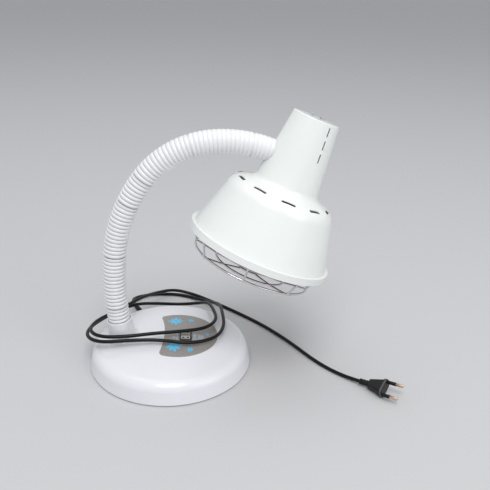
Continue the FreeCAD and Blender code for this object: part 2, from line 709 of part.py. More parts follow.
def cord_grommet():
    """Moulded strain relief held by two flanges, with a grooved taper outside."""
    inner = PAD_FACE - PAD_DEPTH
    root = PAD_FACE + GLAND_FLANGE
    outline = [(0, GLAND_INNER), (GLAND_FLANGE_RADIUS, GLAND_INNER), (GLAND_FLANGE_RADIUS, inner),
               (GLAND_RADIUS, inner), (GLAND_RADIUS, PAD_FACE), (GLAND_FLANGE_RADIUS, PAD_FACE),
               (GLAND_FLANGE_RADIUS, root)]
    pitch = RELIEF_LENGTH / (2 * RELIEF_RINGS + 1)
    for k in range(2 * RELIEF_RINGS + 1):
        radius = RELIEF_ROOT + (RELIEF_TIP - RELIEF_ROOT) * k / (2 * RELIEF_RINGS)
        if k % 2:
            radius -= RELIEF_GROOVE
        outline += [(radius, root + k * pitch), (radius, root + (k + 1) * pitch)]
    outline.append((0, RELIEF_END))
    return in_exit(revolved(rounded(outline)), 0)


def inner_lead():
    """Sheathed lead from the grommet, under its clamp and up on to the terminal block."""
    stations = [(GLAND_INNER, 0), (LEAD_BEND, 0), (LEAD_CREST, LEAD_RISE),
                (BLOCK_DISTANCE + BLOCK_DEPTH / 2, LEAD_RISE)]
    return cord_tube([EXIT_WAY * r + V(0, 0, EXIT_HEIGHT + z) for r, z in stations])


def cord_clamp():
    bar = block(CLAMP_WIDTH, CLAMP_LENGTH, EXIT_HEIGHT, EXIT_HEIGHT + CLAMP_THICKNESS)
    bar = seated(bar, EXIT_WAY * CLAMP_RADIUS, V(0, 0, 1), EXIT_WAY)
    groove = Part.makeCylinder(CORD_RADIUS + LEAD_GAP, 2 * CLAMP_WIDTH)
    bar = bar.cut(in_exit(groove, CLAMP_RADIUS - CLAMP_WIDTH))
    for place in clamp_places():
        bar = bar.cut(Part.makeCylinder(CLAMP_SCREW + SCREW_GAP, BASE_TOP, place))
    return bar


def clamp_screws():
    screw = headed_screw(CLAMP_SCREW, 2 * CLAMP_SCREW, CLAMP_SCREW, CLAMP_SCREW_LENGTH)
    top = V(0, 0, EXIT_HEIGHT + CLAMP_THICKNESS)
    return group([seated(screw, p + top, V(0, 0, -1), V(1, 0, 0)) for p in clamp_places()])


def terminal_block():
    body = block(BLOCK_DEPTH, BLOCK_WIDTH, BALLAST_TOP, BALLAST_TOP + BLOCK_HEIGHT, 1.0)
    for row in (-1, 1):
        for column in (-1, 0, 1):
            well = Part.makeCylinder(BLOCK_WELL, BLOCK_HEIGHT,
                                     V(row * BLOCK_DEPTH / 4, column * BLOCK_PITCH,
                                       BALLAST_TOP + BLOCK_HEIGHT / 2))
            body = body.cut(well)
    return seated(body, EXIT_WAY * BLOCK_DISTANCE, V(0, 0, 1), EXIT_WAY)


# ------------------------------------------------------------------ gooseneck
def rib(i):
    """One ridge of the sleeve, a straight double cone on the chord from station i to i + 1."""
    start = arm_station(i * RIB_PITCH)[0]
    end = arm_station((i + 1) * RIB_PITCH)[0]
    length = (end - start).Length
    root = RIB_ROOT_RADIUS - RIB_SLOPE * RIB_OVERRUN
    crest = RIB_ROOT_RADIUS + RIB_SLOPE * length / 2
    cones = revolved(rounded([(root, -RIB_OVERRUN), (crest, length / 2),
                              (root, length + RIB_OVERRUN)]))
    return seated(cones, start, end - start, SIDE)


def trimmed(solid, start, start_way, end, end_way):
    """The stretch of a solid between two planes, each square to its way."""
    return solid.cut(beyond(start, start_way * -1)).cut(beyond(end, end_way))


def sleeve_link(number):
    """A length of corrugated sleeve: ribs mitred to each other, bored along its core."""
    first = -CUP_RIBS if number == 1 else joint_rib(number - 2)
    last = ARM_RIBS + NECK_RIBS if number == JOINT_COUNT + 1 else joint_rib(number - 1)
    ribs = []
    for i in range(first, last):
        planes = []
        for k in (i, i + 1):
            point, way = arm_station(k * RIB_PITCH)
            if k == first and number > 1:
                point += way * (JOINT_GROOVE / 2)
            elif k == last and number <= JOINT_COUNT:
                point -= way * (JOINT_GROOVE / 2)
            else:
                onward = arm_station((k + 1) * RIB_PITCH)[0] - point
                behind = point - arm_station((k - 1) * RIB_PITCH)[0]
                way = onward.normalize() + behind.normalize()
            planes += [point, way.normalize()]
        ribs.append(trimmed(rib(i), *planes))
    sleeve = ribs[0].multiFuse(ribs[1:])
    sleeve = sleeve.cut(rod(core_line(number, JOINT_GROOVE), CORE_RADIUS + BORE_GAP))
    if number == JOINT_COUNT + 1:
        seat = Part.makeCylinder(FERRULE_RADIUS + FERRULE_GAP, FERRULE_IN_SLEEVE,
                                 V(0, 0, -FERRULE_IN_SLEEVE))
        sleeve = sleeve.cut(in_neck(seat)).cut(in_head(shade_form(-SADDLE_GAP)))
    return sleeve


def core_line(number, overrun):
    """Straight runs of a core piece, from pivot to pivot or through the ferrule at its end."""
    if number == 1:
        points = [COLLAR_CENTRE - COLLAR_UP * LOWER_FERRULE_END, COLLAR_CENTRE]
    else:
        points = [joint_place(number - 2)[0]]
    if number == JOINT_COUNT + 1:
        points += [NECK_CENTRE - ARM_END_WAY * FERRULE_IN_SLEEVE,
                   NECK_CENTRE - ARM_END_WAY * UPPER_FERRULE_END]
    else:
        points.append(joint_place(number - 1)[0])
    if number > 1:
        points[0] += (points[0] - points[1]).normalize() * overrun
    if number <= JOINT_COUNT:
        points[-1] += (points[-1] - points[-2]).normalize() * overrun
    return points


def core_link(number):
    """A length of the arm's core, with a socket at its lower end and a knuckle at its top."""
    core = rod(core_line(number, JOINT_GROOVE), CORE_RADIUS)
    if number > 1:
        point, way, axis = joint_place(number - 2)
        half = KNUCKLE_WIDTH / 2 + KNUCKLE_GAP
        socket = Part.makeCylinder(KNUCKLE_RADIUS + KNUCKLE_GAP, 2 * half, point - axis * half,
                                   axis)
        core = core.cut(beyond(point + way * CORE_SETBACK, way * -1)).cut(socket)
    if number <= JOINT_COUNT:
        point, way, axis = joint_place(number - 1)
        core = core.cut(beyond(point - way * CORE_SETBACK, way))
        neck = block(KNUCKLE_WIDTH, KNUCKLE_NECK, -KNUCKLE_RADIUS, 0)
        knuckle = Part.makeCylinder(KNUCKLE_RADIUS, KNUCKLE_WIDTH,
                                    point - axis * (KNUCKLE_WIDTH / 2), axis)
        core = core.fuse(seated(neck, point, way, axis)).fuse(knuckle)
    return core


def lower_ferrule():
    """Flanged tube on the collar's cup floor that the arm stands in."""
    bore = CORE_RADIUS + BORE_GAP
    body = tube(FERRULE_RADIUS, bore, -LOWER_FERRULE_END, FERRULE_FLANGE - CUP_DEPTH)
    flange = tube(FERRULE_FLANGE_RADIUS, bore, -CUP_DEPTH, FERRULE_FLANGE - CUP_DEPTH)
    return in_collar(body.fuse(flange))


def lower_locknut():
    return in_collar(nut(NUT_FLATS, FERRULE_RADIUS, -COLLAR_DEPTH - NUT_THICKNESS, -COLLAR_DEPTH))


def upper_ferrule():
    return in_neck(tube(FERRULE_RADIUS, CORE_RADIUS + BORE_GAP, -FERRULE_IN_SLEEVE,
                        -UPPER_FERRULE_END))


def neck_saddle():
    """Block that fits the neck's inside and gives the locknut a flat seat."""
    body = tube(SADDLE_RADIUS, FERRULE_RADIUS + FERRULE_GAP, -FERRULE_IN_SLEEVE, -SADDLE_FACE)
    return in_neck(body).common(in_head(shade_form(SHADE_WALL + SADDLE_GAP)))


def upper_locknut():
    return in_neck(nut(NUT_FLATS, FERRULE_RADIUS, -SADDLE_FACE, NUT_THICKNESS - SADDLE_FACE))


# ------------------------------------------------------------------ shade
def shade_form(inward):
    """The shade's solid form: rim band, flare, shoulder and neck, moved in by inward."""
    outline = [(RIM_RADIUS, 0), (RIM_RADIUS, RIM_BAND), (FLARE_RADIUS, RIM_BAND),
               (CREST_RADIUS, CREST_HEIGHT, CREST_ROUND),
               (NECK_FOOT_RADIUS, NECK_FOOT_HEIGHT, NECK_FOOT_ROUND),
               (NECK_TOP_RADIUS, SHADE_HEIGHT, NECK_TOP_ROUND), (0, SHADE_HEIGHT)]
    return revolved(rounded(inset(outline, inward)))


def shade():
    """Spun shade, open at the rim, with its vent slots and the holes in its neck."""
    shell = shade_form(0).cut(shade_form(SHADE_WALL))
    vent = slot_plug(SLOT_LENGTH, SLOT_WIDTH, CREST_HEIGHT - CREST_ROUND,
                     CREST_HEIGHT + CREST_ROUND)
    for angle in around(SHOULDER_SLOTS, SHOULDER_SLOT_TURN):
        shell = shell.cut(spun(spun(vent, 90).translated(V(SLOT_CIRCLE, 0, 0)), angle))
    plug = slot_plug(NECK_SLOT_LENGTH, NECK_SLOT_WIDTH, NECK_TOP_RADIUS / 2, NECK_FOOT_RADIUS)
    for angle in around(NECK_SLOT_COLUMNS, NECK_SLOT_TURN):
        for row in range(NECK_SLOT_ROWS):
            height = V(0, 0, NECK_SLOT_LOWEST + row * NECK_SLOT_PITCH)
            shell = shell.cut(seated(plug, height, polar(1, angle), V(0, 0, 1)))
    for side in (-1, 1):
        shell = shell.cut(Part.makeCylinder(HOLDER_SCREW_RADIUS + SCREW_GAP, NECK_TOP_RADIUS,
                                            V(side * HOLDER_SCREW_SPACING / 2, 0,
                                              SHADE_HEIGHT - NECK_TOP_RADIUS / 2)))
    arm_hole = Part.makeCylinder(FERRULE_RADIUS + FERRULE_GAP, NECK_FOOT_RADIUS,
                                 V(0, 0, ARM_ON_NECK), V(-1, 0, 0))
    return in_head(shell.cut(arm_hole))


# ------------------------------------------------------------------ lampholder
STRAP_TOP = SHADE_HEIGHT - SHADE_WALL


def holder_bracket():
    """Stirrup bent from strip: it hangs from the neck's top and carries the lampholder."""
    outer = block(STRAP_LENGTH, STRAP_WIDTH, HOLDER_TOP, STRAP_TOP)
    inner = block(STRAP_LENGTH - 2 * STRAP_THICKNESS, 2 * STRAP_WIDTH,
                  HOLDER_TOP + STRAP_THICKNESS, STRAP_TOP - STRAP_THICKNESS)
    bends = [e for e in outer.Edges if e.BoundBox.YLength > STRAP_WIDTH / 2]
    strap = outer.makeFillet(STRAP_THICKNESS, bends).cut(inner)
    hole = Part.makeCylinder(HOLDER_SCREW_RADIUS + SCREW_GAP, STRAP_LENGTH,
                             V(0, 0, STRAP_TOP - STRAP_LENGTH / 2))
    for side in (-1, 1):
        strap = strap.cut(hole.translated(V(side * HOLDER_SCREW_SPACING / 2, 0, 0)))
    nipple_hole = Part.makeCylinder(NIPPLE_RADIUS + NIPPLE_GAP, 2 * STRAP_THICKNESS,
                                    V(0, 0, HOLDER_TOP - STRAP_THICKNESS / 2))
    return in_head(strap.cut(nipple_hole))


def holder_screws():
    length = HOLDER_SCREW_STAND + SHADE_WALL + STRAP_THICKNESS
    screw = headed_screw(HOLDER_SCREW_RADIUS, HOLDER_SCREW_HEAD, HOLDER_SCREW_RADIUS, length)
    seat = STRAP_TOP - STRAP_THICKNESS
    return group([in_head(screw.translated(V(side * HOLDER_SCREW_SPACING / 2, 0, seat)))
                  for side in (-1, 1)])


def holder_nuts():
    piece = nut(HOLDER_NUT_FLATS, HOLDER_SCREW_RADIUS, SHADE_HEIGHT,
                SHADE_HEIGHT + HOLDER_NUT_THICKNESS)
    return group([in_head(piece.translated(V(side * HOLDER_SCREW_SPACING / 2, 0, 0)))
                  for side in (-1, 1)])


SOCKET_RADIUS = CAP_RADIUS + SOCKET_GAP + SOCKET_WALL
SOCKET_FOOT = HOLDER_FOOT + SOCKET_MOUTH
SOCKET_ROOF = CAP_END + CONTACT_RADIUS / 2


def lampholder_body():
    """Porcelain cup, open below, with a threaded nipple through the stirrup."""
    body = revolved(rounded([(HOLDER_RADIUS, HOLDER_FOOT),
                             (HOLDER_RADIUS, HOLDER_TOP, HOLDER_ROUND),
                             (NIPPLE_RADIUS, HOLDER_TOP),
                             (NIPPLE_RADIUS, HOLDER_TOP + NIPPLE_HEIGHT),
                             (0, HOLDER_TOP + NIPPLE_HEIGHT)]))
    cavity = Part.makeCylinder(SOCKET_RADIUS + SOCKET_SEAT, SOCKET_ROOF - HOLDER_FOOT,
                               V(0, 0, HOLDER_FOOT))
    return in_head(body.cut(cavity))


def nipple_nut():
    seat = HOLDER_TOP + STRAP_THICKNESS
    return in_head(nut(NIPPLE_NUT_FLATS, NIPPLE_RADIUS, seat, seat + NIPPLE_NUT_THICKNESS))


def screw_shell():
    return in_head(tube(SOCKET_RADIUS, SOCKET_RADIUS - SOCKET_WALL, SOCKET_FOOT,
                        SOCKET_FOOT + SOCKET_LENGTH))


def centre_contact():
    return in_head(Part.makeCylinder(CONTACT_RADIUS - 0.5, SOCKET_ROOF - CAP_END,
                                     V(0, 0, CAP_END)))


# ------------------------------------------------------------------ bulb
def bulb_reflector():
    """Blown glass bowl and neck, open at the lens."""
    outline = [(BULB_RADIUS, BULB_EDGE), (BULB_RADIUS, FLANGE_HEIGHT, 3.0),
               (BOWL_RADIUS, BOWL_HEIGHT, 45.0), (BULB_NECK_RADIUS, BULB_NECK_FOOT, 12.0),
               (BULB_NECK_RADIUS, BULB_NECK_TOP, 3.0),
               (CAP_RADIUS - 0.5, BULB_NECK_TOP + 5.0), (CAP_RADIUS - 0.5, CAP_FOOT),
               (0, CAP_FOOT)]
    hollow = revolved(rounded(inset(outline[:-1], BULB_WALL)))
    return in_head(revolved(rounded(outline)).cut(hollow))


def bulb_lens():
    """Domed front glass, joined to the reflector's edge."""
    def cap(radius, height):
        sphere = (radius ** 2 + height ** 2) / (2 * height)
        edge = V(radius, 0, BULB_EDGE)
        angle = math.asin(radius / sphere) / 2
        middle = V(sphere * math.sin(angle), 0,
                   BULB_EDGE - height + sphere * (1 - math.cos(angle)))
        return revolved([Part.Arc(edge, middle, V(0, 0, BULB_EDGE - height)).toShape()])
    return in_head(cap(BULB_RADIUS, LENS_RISE).cut(cap(BULB_RADIUS - LENS_WALL,
                                                       LENS_RISE - LENS_WALL)))


def bulb_cap():
    return in_head(revolved(rounded([(0, CAP_FOOT), (CAP_RADIUS, CAP_FOOT),
                                     (CAP_RADIUS, CAP_END - CAP_CONE),
                                     (CONTACT_RADIUS, CAP_END), (0, CAP_END)])))


def bulb_stem():
    """Glass stem that carries the filament's lead wires."""
    return in_head(revolved(rounded([(0, CAP_FOOT), (STEM_RADIUS, CAP_FOOT),
                                     (STEM_RADIUS / 2, STEM_FOOT), (0, STEM_FOOT)])))


def filament():
    """Two lead wires spread from the stem, with the filament's arc between their tips."""
    tips = [V(side * FILAMENT_SPREAD, 0, FILAMENT_HEIGHT) for side in (-1, 1)]
    wires = [rod([tip, V(tip.x / 6, 0, STEM_FOOT)], LEAD_WIRE_RADIUS) for tip in tips]
    bow = Part.Wire(Part.Arc(tips[0], V(0, 0, FILAMENT_HEIGHT - FILAMENT_SPREAD / 2),
                             tips[1]).toShape())
    way = bow.Edges[0].tangentAt(bow.Edges[0].FirstParameter)
    ring = Part.Wire(Part.Circle(tips[0], way, FILAMENT_RADIUS).toShape())
    coil = bow.makePipeShell([ring], True, False)
    return in_head(coil.fuse(wires[0]).fuse(wires[1]))


# ------------------------------------------------------------------ wire guard
def spokes():
    """The guard's spokes in the shade's frame, each bent at the rings."""
    route = [V(radius, 0, height) for radius, height in (GUARD_RIM, GUARD_TURN) + GUARD_RINGS]
    spoke = rod(route, WIRE_RADIUS)
    return [spun(spoke, angle) for angle in around(GUARD_SPOKES, GUARD_FIRST)]


def guard_spokes():
    """Wires of the guard that hook up inside the shade's rim."""
    return group([in_head(spoke) for spoke in spokes()])


def guard_rings():
    """Rings of the guard, welded into the spokes that cross them."""
    places = [GUARD_RIM] + [(radius, height + RING_LIFT) for radius, height in GUARD_RINGS]
    rings = [Part.makeTorus(radius, RING_WIRE_RADIUS).translated(V(0, 0, height))
             for radius, height in places]
    return group([in_head(ring.cut(spokes())) for ring in rings])


def guard_clips():
    """Tabs on the rim band that hold the guard's top ring up against the shade's ledge."""
    top = GUARD_RIM[1] - RING_WIRE_RADIUS - CLIP_GAP
    outer = RIM_RADIUS - SHADE_WALL
    tab = ring_piece(outer - CLIP_DEPTH, outer, top - CLIP_THICKNESS, top, CLIP_LENGTH, outer)
    first = GUARD_FIRST + 180.0 / GUARD_SPOKES
    return group([in_head(spun(tab, angle)) for angle in around(CLIP_COUNT, first)])


# ------------------------------------------------------------------ cord and plug
PLUG_WAY = (PLUG_FACE - PLUG_TAIL).normalize()
PLUG_LENGTH = (PLUG_FACE - PLUG_TAIL).Length


def cord_tube(points, say=""):
    """A round tube along straight runs joined by arcs as large as the runs allow."""
    edges = []
    radii = []
    here = points[0]
    for before, corner, after in zip(points, points[1:], points[2:]):
        back = before - corner
        onward = after - corner
        half = back.getAngle(onward) / 2
        radius = 0.45 * min(back.Length, onward.Length) * math.tan(half)
        start, through, end = corner_arc(before, corner, after, radius)
        edges += [line(here, start), Part.Arc(start, through, end).toShape()]
        radii.append(radius)
        here = end
    edges.append(line(here, points[-1]))
    path = Part.Wire(edges)
    ring = Part.Wire(Part.Circle(points[0], points[1] - points[0], CORD_RADIUS).toShape())
    solid = path.makePipeShell([ring], True, False)
    if say:
        print(say, "length %.0f" % path.Length, "radii", " ".join("%.0f" % r for r in radii))
        print(say, "volume %.0f, section x length %.0f" % (
            solid.Volume, math.pi * CORD_RADIUS ** 2 * path.Length))
    return solid


def cord():
    start = EXIT_WAY * RELIEF_END + V(0, 0, EXIT_HEIGHT)
    points = [start] + [V(*point) for point in CORD_POINTS]
    points += [PLUG_TAIL - PLUG_WAY * PLUG_LAST_RUN, PLUG_TAIL]
    return cord_tube(points, "cord")


def in_plug(shape):
    """Place a shape with its Z along the plug's axis, its origin in the pin face."""
    return seated(shape, PLUG_FACE, PLUG_WAY, PLUG_ROLL)


def plug_section(width, height, corner, z):
    wire = block(width, height, z, z + 1, corner).Faces
    flat = [face for face in wire if face.BoundBox.ZMax < z + 0.5]
    return flat[0].OuterWire


def plug_relief():
    """Ringed strain relief behind the plug's body, in the plug's frame."""
    outline = []
    pitch = PLUG_RELIEF / (2 * PLUG_RELIEF_RINGS)
    for k in range(2 * PLUG_RELIEF_RINGS):
        radius = PLUG_RELIEF_GROOVE if k % 2 else PLUG_RELIEF_RADIUS
        low = -PLUG_LENGTH + k * pitch
        outline += [(radius, low), (radius, low + pitch)]
    return revolved(rounded(outline + [(0, PLUG_RELIEF - PLUG_LENGTH)]))


def plug_body():
    """Flat two-pin plug, moulded in one with its relief: a flange and a tapered body."""
    flange = block(PLUG_FLANGE_WIDTH, PLUG_FLANGE_HEIGHT, -PLUG_FLANGE, 0, PLUG_CORNER)
    front = plug_section(PLUG_FLANGE_WIDTH - 2 * PLUG_BODY_STEP,
                         PLUG_FLANGE_HEIGHT - 2 * PLUG_BODY_STEP,
                         PLUG_CORNER - PLUG_BODY_STEP, -PLUG_FLANGE)
    back = plug_section(PLUG_TAIL_WIDTH, PLUG_TAIL_HEIGHT, PLUG_CORNER - PLUG_BODY_STEP,
                        PLUG_RELIEF - PLUG_LENGTH)
    taper = Part.makeLoft([front, back], True, True)
    return in_plug(flange.fuse(taper).fuse(plug_relief()))


def plug_pins():
    pin = revolved(rounded([(PLUG_PIN_RADIUS, 0),
                            (PLUG_PIN_RADIUS, PLUG_PIN_LENGTH, PLUG_PIN_ROUND),
                            (0, PLUG_PIN_LENGTH)]))
    return group([in_plug(pin.translated(V(side * PIN_SPACING / 2, 0, 0))) for side in (-1, 1)])


# ------------------------------------------------------------------ all pieces
PIECES = (base_shell, label_plate, bottom_plate, ballast_weight, foot_ring, bottom_screws,
          switch_housing, switch_terminals, rocker, cord_grommet, inner_lead, cord_clamp,
          clamp_screws, terminal_block, lower_ferrule, lower_locknut, upper_ferrule,
          neck_saddle, upper_locknut, shade, holder_bracket, holder_screws, holder_nuts,
          lampholder_body, nipple_nut, screw_shell, centre_contact, bulb_reflector, bulb_lens,
          bulb_cap, bulb_stem, filament, guard_spokes, guard_rings, guard_clips, cord,
          plug_body, plug_pins)

os.makedirs("parts", exist_ok=True)
for make in PIECES:
    out(make(), make.__name__)
for number in range(1, JOINT_COUNT + 2):
    out(sleeve_link(number), "sleeve_%02d" % number)
    out(core_link(number), "core_%02d" % number)
for k in range(JOINT_COUNT):
    point, way, axis = joint_place(k)
    print("joint %d at (%.3f, %.3f, %.3f) axis (%.5f, %.5f, %.5f)" % ((k,) + tuple(point)
                                                                      + tuple(axis)))
print("head: rim centre (%.3f, %.3f, %.3f) up (%.5f, %.5f, %.5f)" % (tuple(RIM_CENTRE)
                                                                     + tuple(NECK_UP)))
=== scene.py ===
import math

import bmesh
import bpy
from mathutils import Matrix, Vector
from mathutils.bvhtree import BVHTree


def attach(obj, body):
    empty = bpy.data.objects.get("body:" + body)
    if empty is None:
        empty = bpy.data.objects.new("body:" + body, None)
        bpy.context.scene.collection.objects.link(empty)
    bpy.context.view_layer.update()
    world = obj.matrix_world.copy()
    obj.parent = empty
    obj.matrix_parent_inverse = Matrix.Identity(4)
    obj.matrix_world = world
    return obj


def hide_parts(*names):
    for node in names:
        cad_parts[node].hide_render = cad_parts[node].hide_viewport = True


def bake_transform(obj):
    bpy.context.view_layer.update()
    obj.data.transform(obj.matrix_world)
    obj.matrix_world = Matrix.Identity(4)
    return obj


# Looks of a free-standing infrared heat lamp: enamelled shade, corrugated gooseneck, glossy
# moulded base with a printed panel and rocker switch, ruby reflector bulb, cord and plug.
# Metres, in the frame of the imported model: +Z up, origin under the middle of the base.

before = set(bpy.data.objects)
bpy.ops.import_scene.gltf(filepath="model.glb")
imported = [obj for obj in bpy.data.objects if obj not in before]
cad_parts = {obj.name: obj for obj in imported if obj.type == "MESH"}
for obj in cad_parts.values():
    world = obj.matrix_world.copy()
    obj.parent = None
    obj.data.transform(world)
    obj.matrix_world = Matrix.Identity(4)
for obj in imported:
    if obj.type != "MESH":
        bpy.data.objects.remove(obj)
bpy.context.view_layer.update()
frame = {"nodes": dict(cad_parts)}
MM = 0.001

# ------------------------------------------------------------------ camera
CAMERA_PLACE = Vector((0.03218, -0.69383, 0.46214))
CAMERA_WAY = Vector((0.07660, 0.91221, -0.40250))
CAMERA_UP = Vector((0.00685, 0.40319, 0.91509))
CAMERA_LENS = 47.02        # mm
SENSOR = 36.0              # mm wide

# ------------------------------------------------------------------ arm, as in the CAD
COLLAR_RIM = Vector((-62.2, 0.0, 58.0)) * MM
SIDEWAYS = Vector((0, 1, 0))           # square to the plane that the arm lies in
ARM_LEAN = -7.5            # degrees from upright, at the collar
ARM_BENDS = ((18, 13.5), (21, 31.0), (19, 48.0), (14, 27.0))  # ribs, degrees turned
ARM_RIBS = sum(ribs for ribs, turn in ARM_BENDS)
RIB_PITCH = 4.83 * MM
FIRST_JOINT_RIB = 4
LINK_RIBS = 7              # from one joint to the next
LINKS = 11
LEVEL_JOINTS = (1, 3, 5, 6, 8, 10)     # joints whose axis is level; the others bend sideways
BLEND_RIBS = 6             # ribs either side of a sideways joint
CUP_RIBS = 1               # ribs hidden in the collar
SADDLE_RIBS = 1            # ribs past the last bend, cut to the neck
NECK_CLEARANCE = 0.2 * MM  # between that cut and the neck
NECK_PULLS = 4             # steps in which the cut is drawn back to the neck

# ------------------------------------------------------------------ sleeve and its knuckles
CREST = 13.6 * MM
ROOT = 11.7 * MM
RIDGE_POWER = 0.45         # the lower, the narrower the grooves between the ridges
SLEEVE_BORE = 10.6 * MM
SLEEVE_SIDES = 56
SLEEVE_SHARP = 60.0        # degrees; see SHARP_EDGE
RIB_PHASES = (0.0, 0.05, 0.14, 0.28, 0.5, 0.72, 0.86, 0.95)   # rings of vertices on a rib
SHALLOW_RIBS = (36, 60)    # the grooves get shallower from the first of these to the second
SHALLOW_CUT = 0.5          # and lose this share of their depth
JOINT_GROOVE = 2.2 * MM    # open groove at a level joint, as in the CAD
KNUCKLE_SINK = 0.1 * MM    # how far the knuckle in it lies below the foot of a groove
KNUCKLE_HEIGHTS = (-2.6, -1.3, 0.0, 1.5, 3.1)   # mm along the arm from the joint
KNUCKLE_WALL = 0.25 * MM
KNUCKLE_GAP = 0.3 * MM     # between the knuckle and the hollow round it
HOLLOW_STEPS = 4

# ------------------------------------------------------------------ shade, as in the CAD
SHADE_ROLL = 4.7           # degrees about the arm's end
NECK_REACH = 32.0 * MM     # from the last bend to the neck's middle line
ARM_ON_NECK = 113.2 * MM   # from the shade's rim up to the arm
NECK_FOOT = Vector((38.4, 81.4)) * MM   # radius, height
NECK_TOP = Vector((27.2, 165.5)) * MM

# ------------------------------------------------------------------ cord, as in the CAD
CORD_DIAMETER = 4.4 * MM
CORD_POINTS = (            # mm
    (-52.74, 113.11, 11.8),
    (-61, 131, 11.8), (-55, 153, 5.6), (-30, 168, 2.4), (6, 166, 2.4), (38, 147, 3.4),
    (58, 117, 14.0), (65, 84, 30.0), (67, 48, 36.4), (68, 12, 37.2), (56, -19, 39.2),
    (24, -33.5, 41.2), (-12, -25.5, 42.6), (-48, -25.5, 42.6), (-84, -25, 39.8),
    (-103, -6, 36.0), (-104, 20, 33.5), (-90, 48, 31.0), (-70, 75, 28.5), (-50, 101, 23.0),
    (-25, 127, 8.5), (8, 134, 2.6), (36, 120, 12.0), (49, 91, 29.5), (55, 58, 37.2),
    (59, 25, 40.0), (45, 0, 42.4), (14, -10, 44.4), (-21, -15.5, 45.6), (-54, -21.8, 45.4),
    (-86, -20, 44.6), (-101, 1, 42.4), (-95, 28, 39.5), (-79, 53, 35.6), (-61, 78, 33.5),
    (-43, 111, 28.5), (-25, 147, 16.0), (0, 171, 8.0), (31, 164, 2.3), (62, 136, 2.3),
    (95, 104, 2.3), (127, 69, 2.3), (157, 26, 2.3), (184, -22, 2.3), (211.8, -52.83, 2.43),
    (228.4, -67.0, 5.2))
PLUG_TAIL = Vector((228.4, -67.0, 5.2)) * MM
PLUG_FACE = Vector((253.0, -88.0, 9.3)) * MM
PLUG_ROLL = Vector((0.574, 0.738, 0.355))   # from pin to pin
PIN_SPACING = 19.0 * MM
PIN_SLEEVE = ((2.0, -0.3), (2.16, -0.3), (2.16, 9.6), (2.0, 9.9))    # radius, height in mm
PIN_TIP = ((1.9, 9.4), (2.04, 9.6), (2.04, 17.6), (1.75, 18.55), (1.0, 18.95), (0.05, 18.95))
FACE_RIB = (22.4, 12.9, 4.1, (-3.2, -0.8))  # width, length, corner, heights in mm

# ------------------------------------------------------------------ printed panel, in mm
BURSTS = ((6.0, 30.0, 11.0, 8, 0.0), (4.6, -30.0, 11.0, 8, 11.0), (25.3, 32.6, 5.0, 6, 15.0),
          (24.6, -35.6, 5.0, 6, 0.0), (46.2, -1.9, 3.0, 5, 0.0))  # x, y, radius, petals, turn
SHORT_PETAL = 0.86         # every other petal's reach, as a share of the burst's radius
PETAL_START = 0.06         # share of the radius left free in the middle
PETAL_WIDTH = 2.9          # of all petals together, in radii
PETAL_STEPS = 8
PETAL_FOOT = 0.08          # where a petal starts in the half wave that shapes it
PETAL_POWER = 0.8          # the lower, the fuller the petal
PANEL_BLOCKS = ((29.8, -8.6, 5.4, 15.0), (37.6, -9.5, 7.4, 9.0), (8.3, -8.2, 1.7, 15.5),
                (4.4, -10.5, 3.6, 5.0))       # x, y, width, length
BLOCK_CORNER = 0.8
PANEL_OVER = 30.0          # a height near the panel
BURST_LIFT = 0.05          # how far a film lies over its surface
BLOCK_LIFT = 0.03
FILM_DROP = 20.0           # how far above its matrix a film is dropped from

# ------------------------------------------------------------------ rocker's marks and painted shade, in mm
SWITCH = Vector((18.66, -8.18, 35.17)) * MM   # the rocker's pivot
SWITCH_UP = Vector((0.0479, -0.0210, 0.9986))
SWITCH_ROCK = math.radians(6.0)               # the way the rocker lies at rest
MARK_PLACES = ((-2.75, -5.4), (-2.75, 5.4), (2.75, -5.4), (2.75, 5.4))
OUTLINE_SIZE = (5.0, 5.0, 1.6)                # width, length, corner
# The dark marks are painted shade where the rocker has recesses; the line is painted shadow of its
# middle ridge.
RECESS_SHADE_SIZE = (3.7, 3.5, 1.5)
RIDGE_SHADOW_SIZE = (10.6, 0.9, 0.3)
OUTLINE_LIFT = 0.04
SHADE_FILM_LIFT = 0.08

# ------------------------------------------------------------------ stage
FLOOR_REACH = 30.0         # m either way
AMBIENT = 0.54
LIGHTS = (                 # name, place, target, size, watts
    ("key", (0.0, -1.5, 2.7), (0.02, 0.0, 0.12), 1.6, 41.0),
    ("top", (-0.3, 0.3, 3.0), (0.02, 0.0, 0.1), 2.4, 14.0),
    ("side", (1.7, -1.3, 1.3), (0.02, 0.0, 0.08), 1.6, 9.0))


# ------------------------------------------------------------------ helpers
SHARP_EDGE = 35.0          # degrees; edges that turn more stay hard
SHORTEST_EDGE = 0.0005 * MM



def placed(origin, up, forward):
    """Matrix with its Z along up and its X towards forward."""
    z = up.normalized()
    y = z.cross(forward).normalized()
    x = y.cross(z)
    matrix = Matrix((x, y, z)).transposed().to_4x4()
    matrix.translation = origin
    return matrix


def mesh_object(name, points, faces, material, sharp=SHARP_EDGE):
    """A smooth-shaded mesh with its hard edges kept."""
    mesh = bpy.data.meshes.new(name)
    mesh.from_pydata(points, [], faces)
    mesh.validate()
    build = bmesh.new()
    build.from_mesh(mesh)
    bmesh.ops.dissolve_degenerate(build, edges=build.edges, dist=SHORTEST_EDGE)
    bmesh.ops.recalc_face_normals(build, faces=build.faces)
    for edge in build.edges:
        faces_beside = edge.link_faces
        if len(faces_beside) == 2:
            edge.smooth = edge.calc_face_angle(0.0) < math.radians(sharp)
    for face in build.faces:
        face.smooth = True
    build.to_mesh(mesh)
    build.free()
    piece = bpy.data.objects.new(name, mesh)
    bpy.context.scene.collection.objects.link(piece)
    mesh.materials.append(material)
    return piece


def ring_faces(rings, sides, closed=False):
    """Quads between rings of vertices, each with sides vertices."""
    faces = []
    for k in range(rings if closed else rings - 1):
        here, there = k * sides, (k + 1) % rings * sides
        for i in range(sides):
            j = (i + 1) % sides
            faces.append((here + i, here + j, there + j, there + i))
    return faces


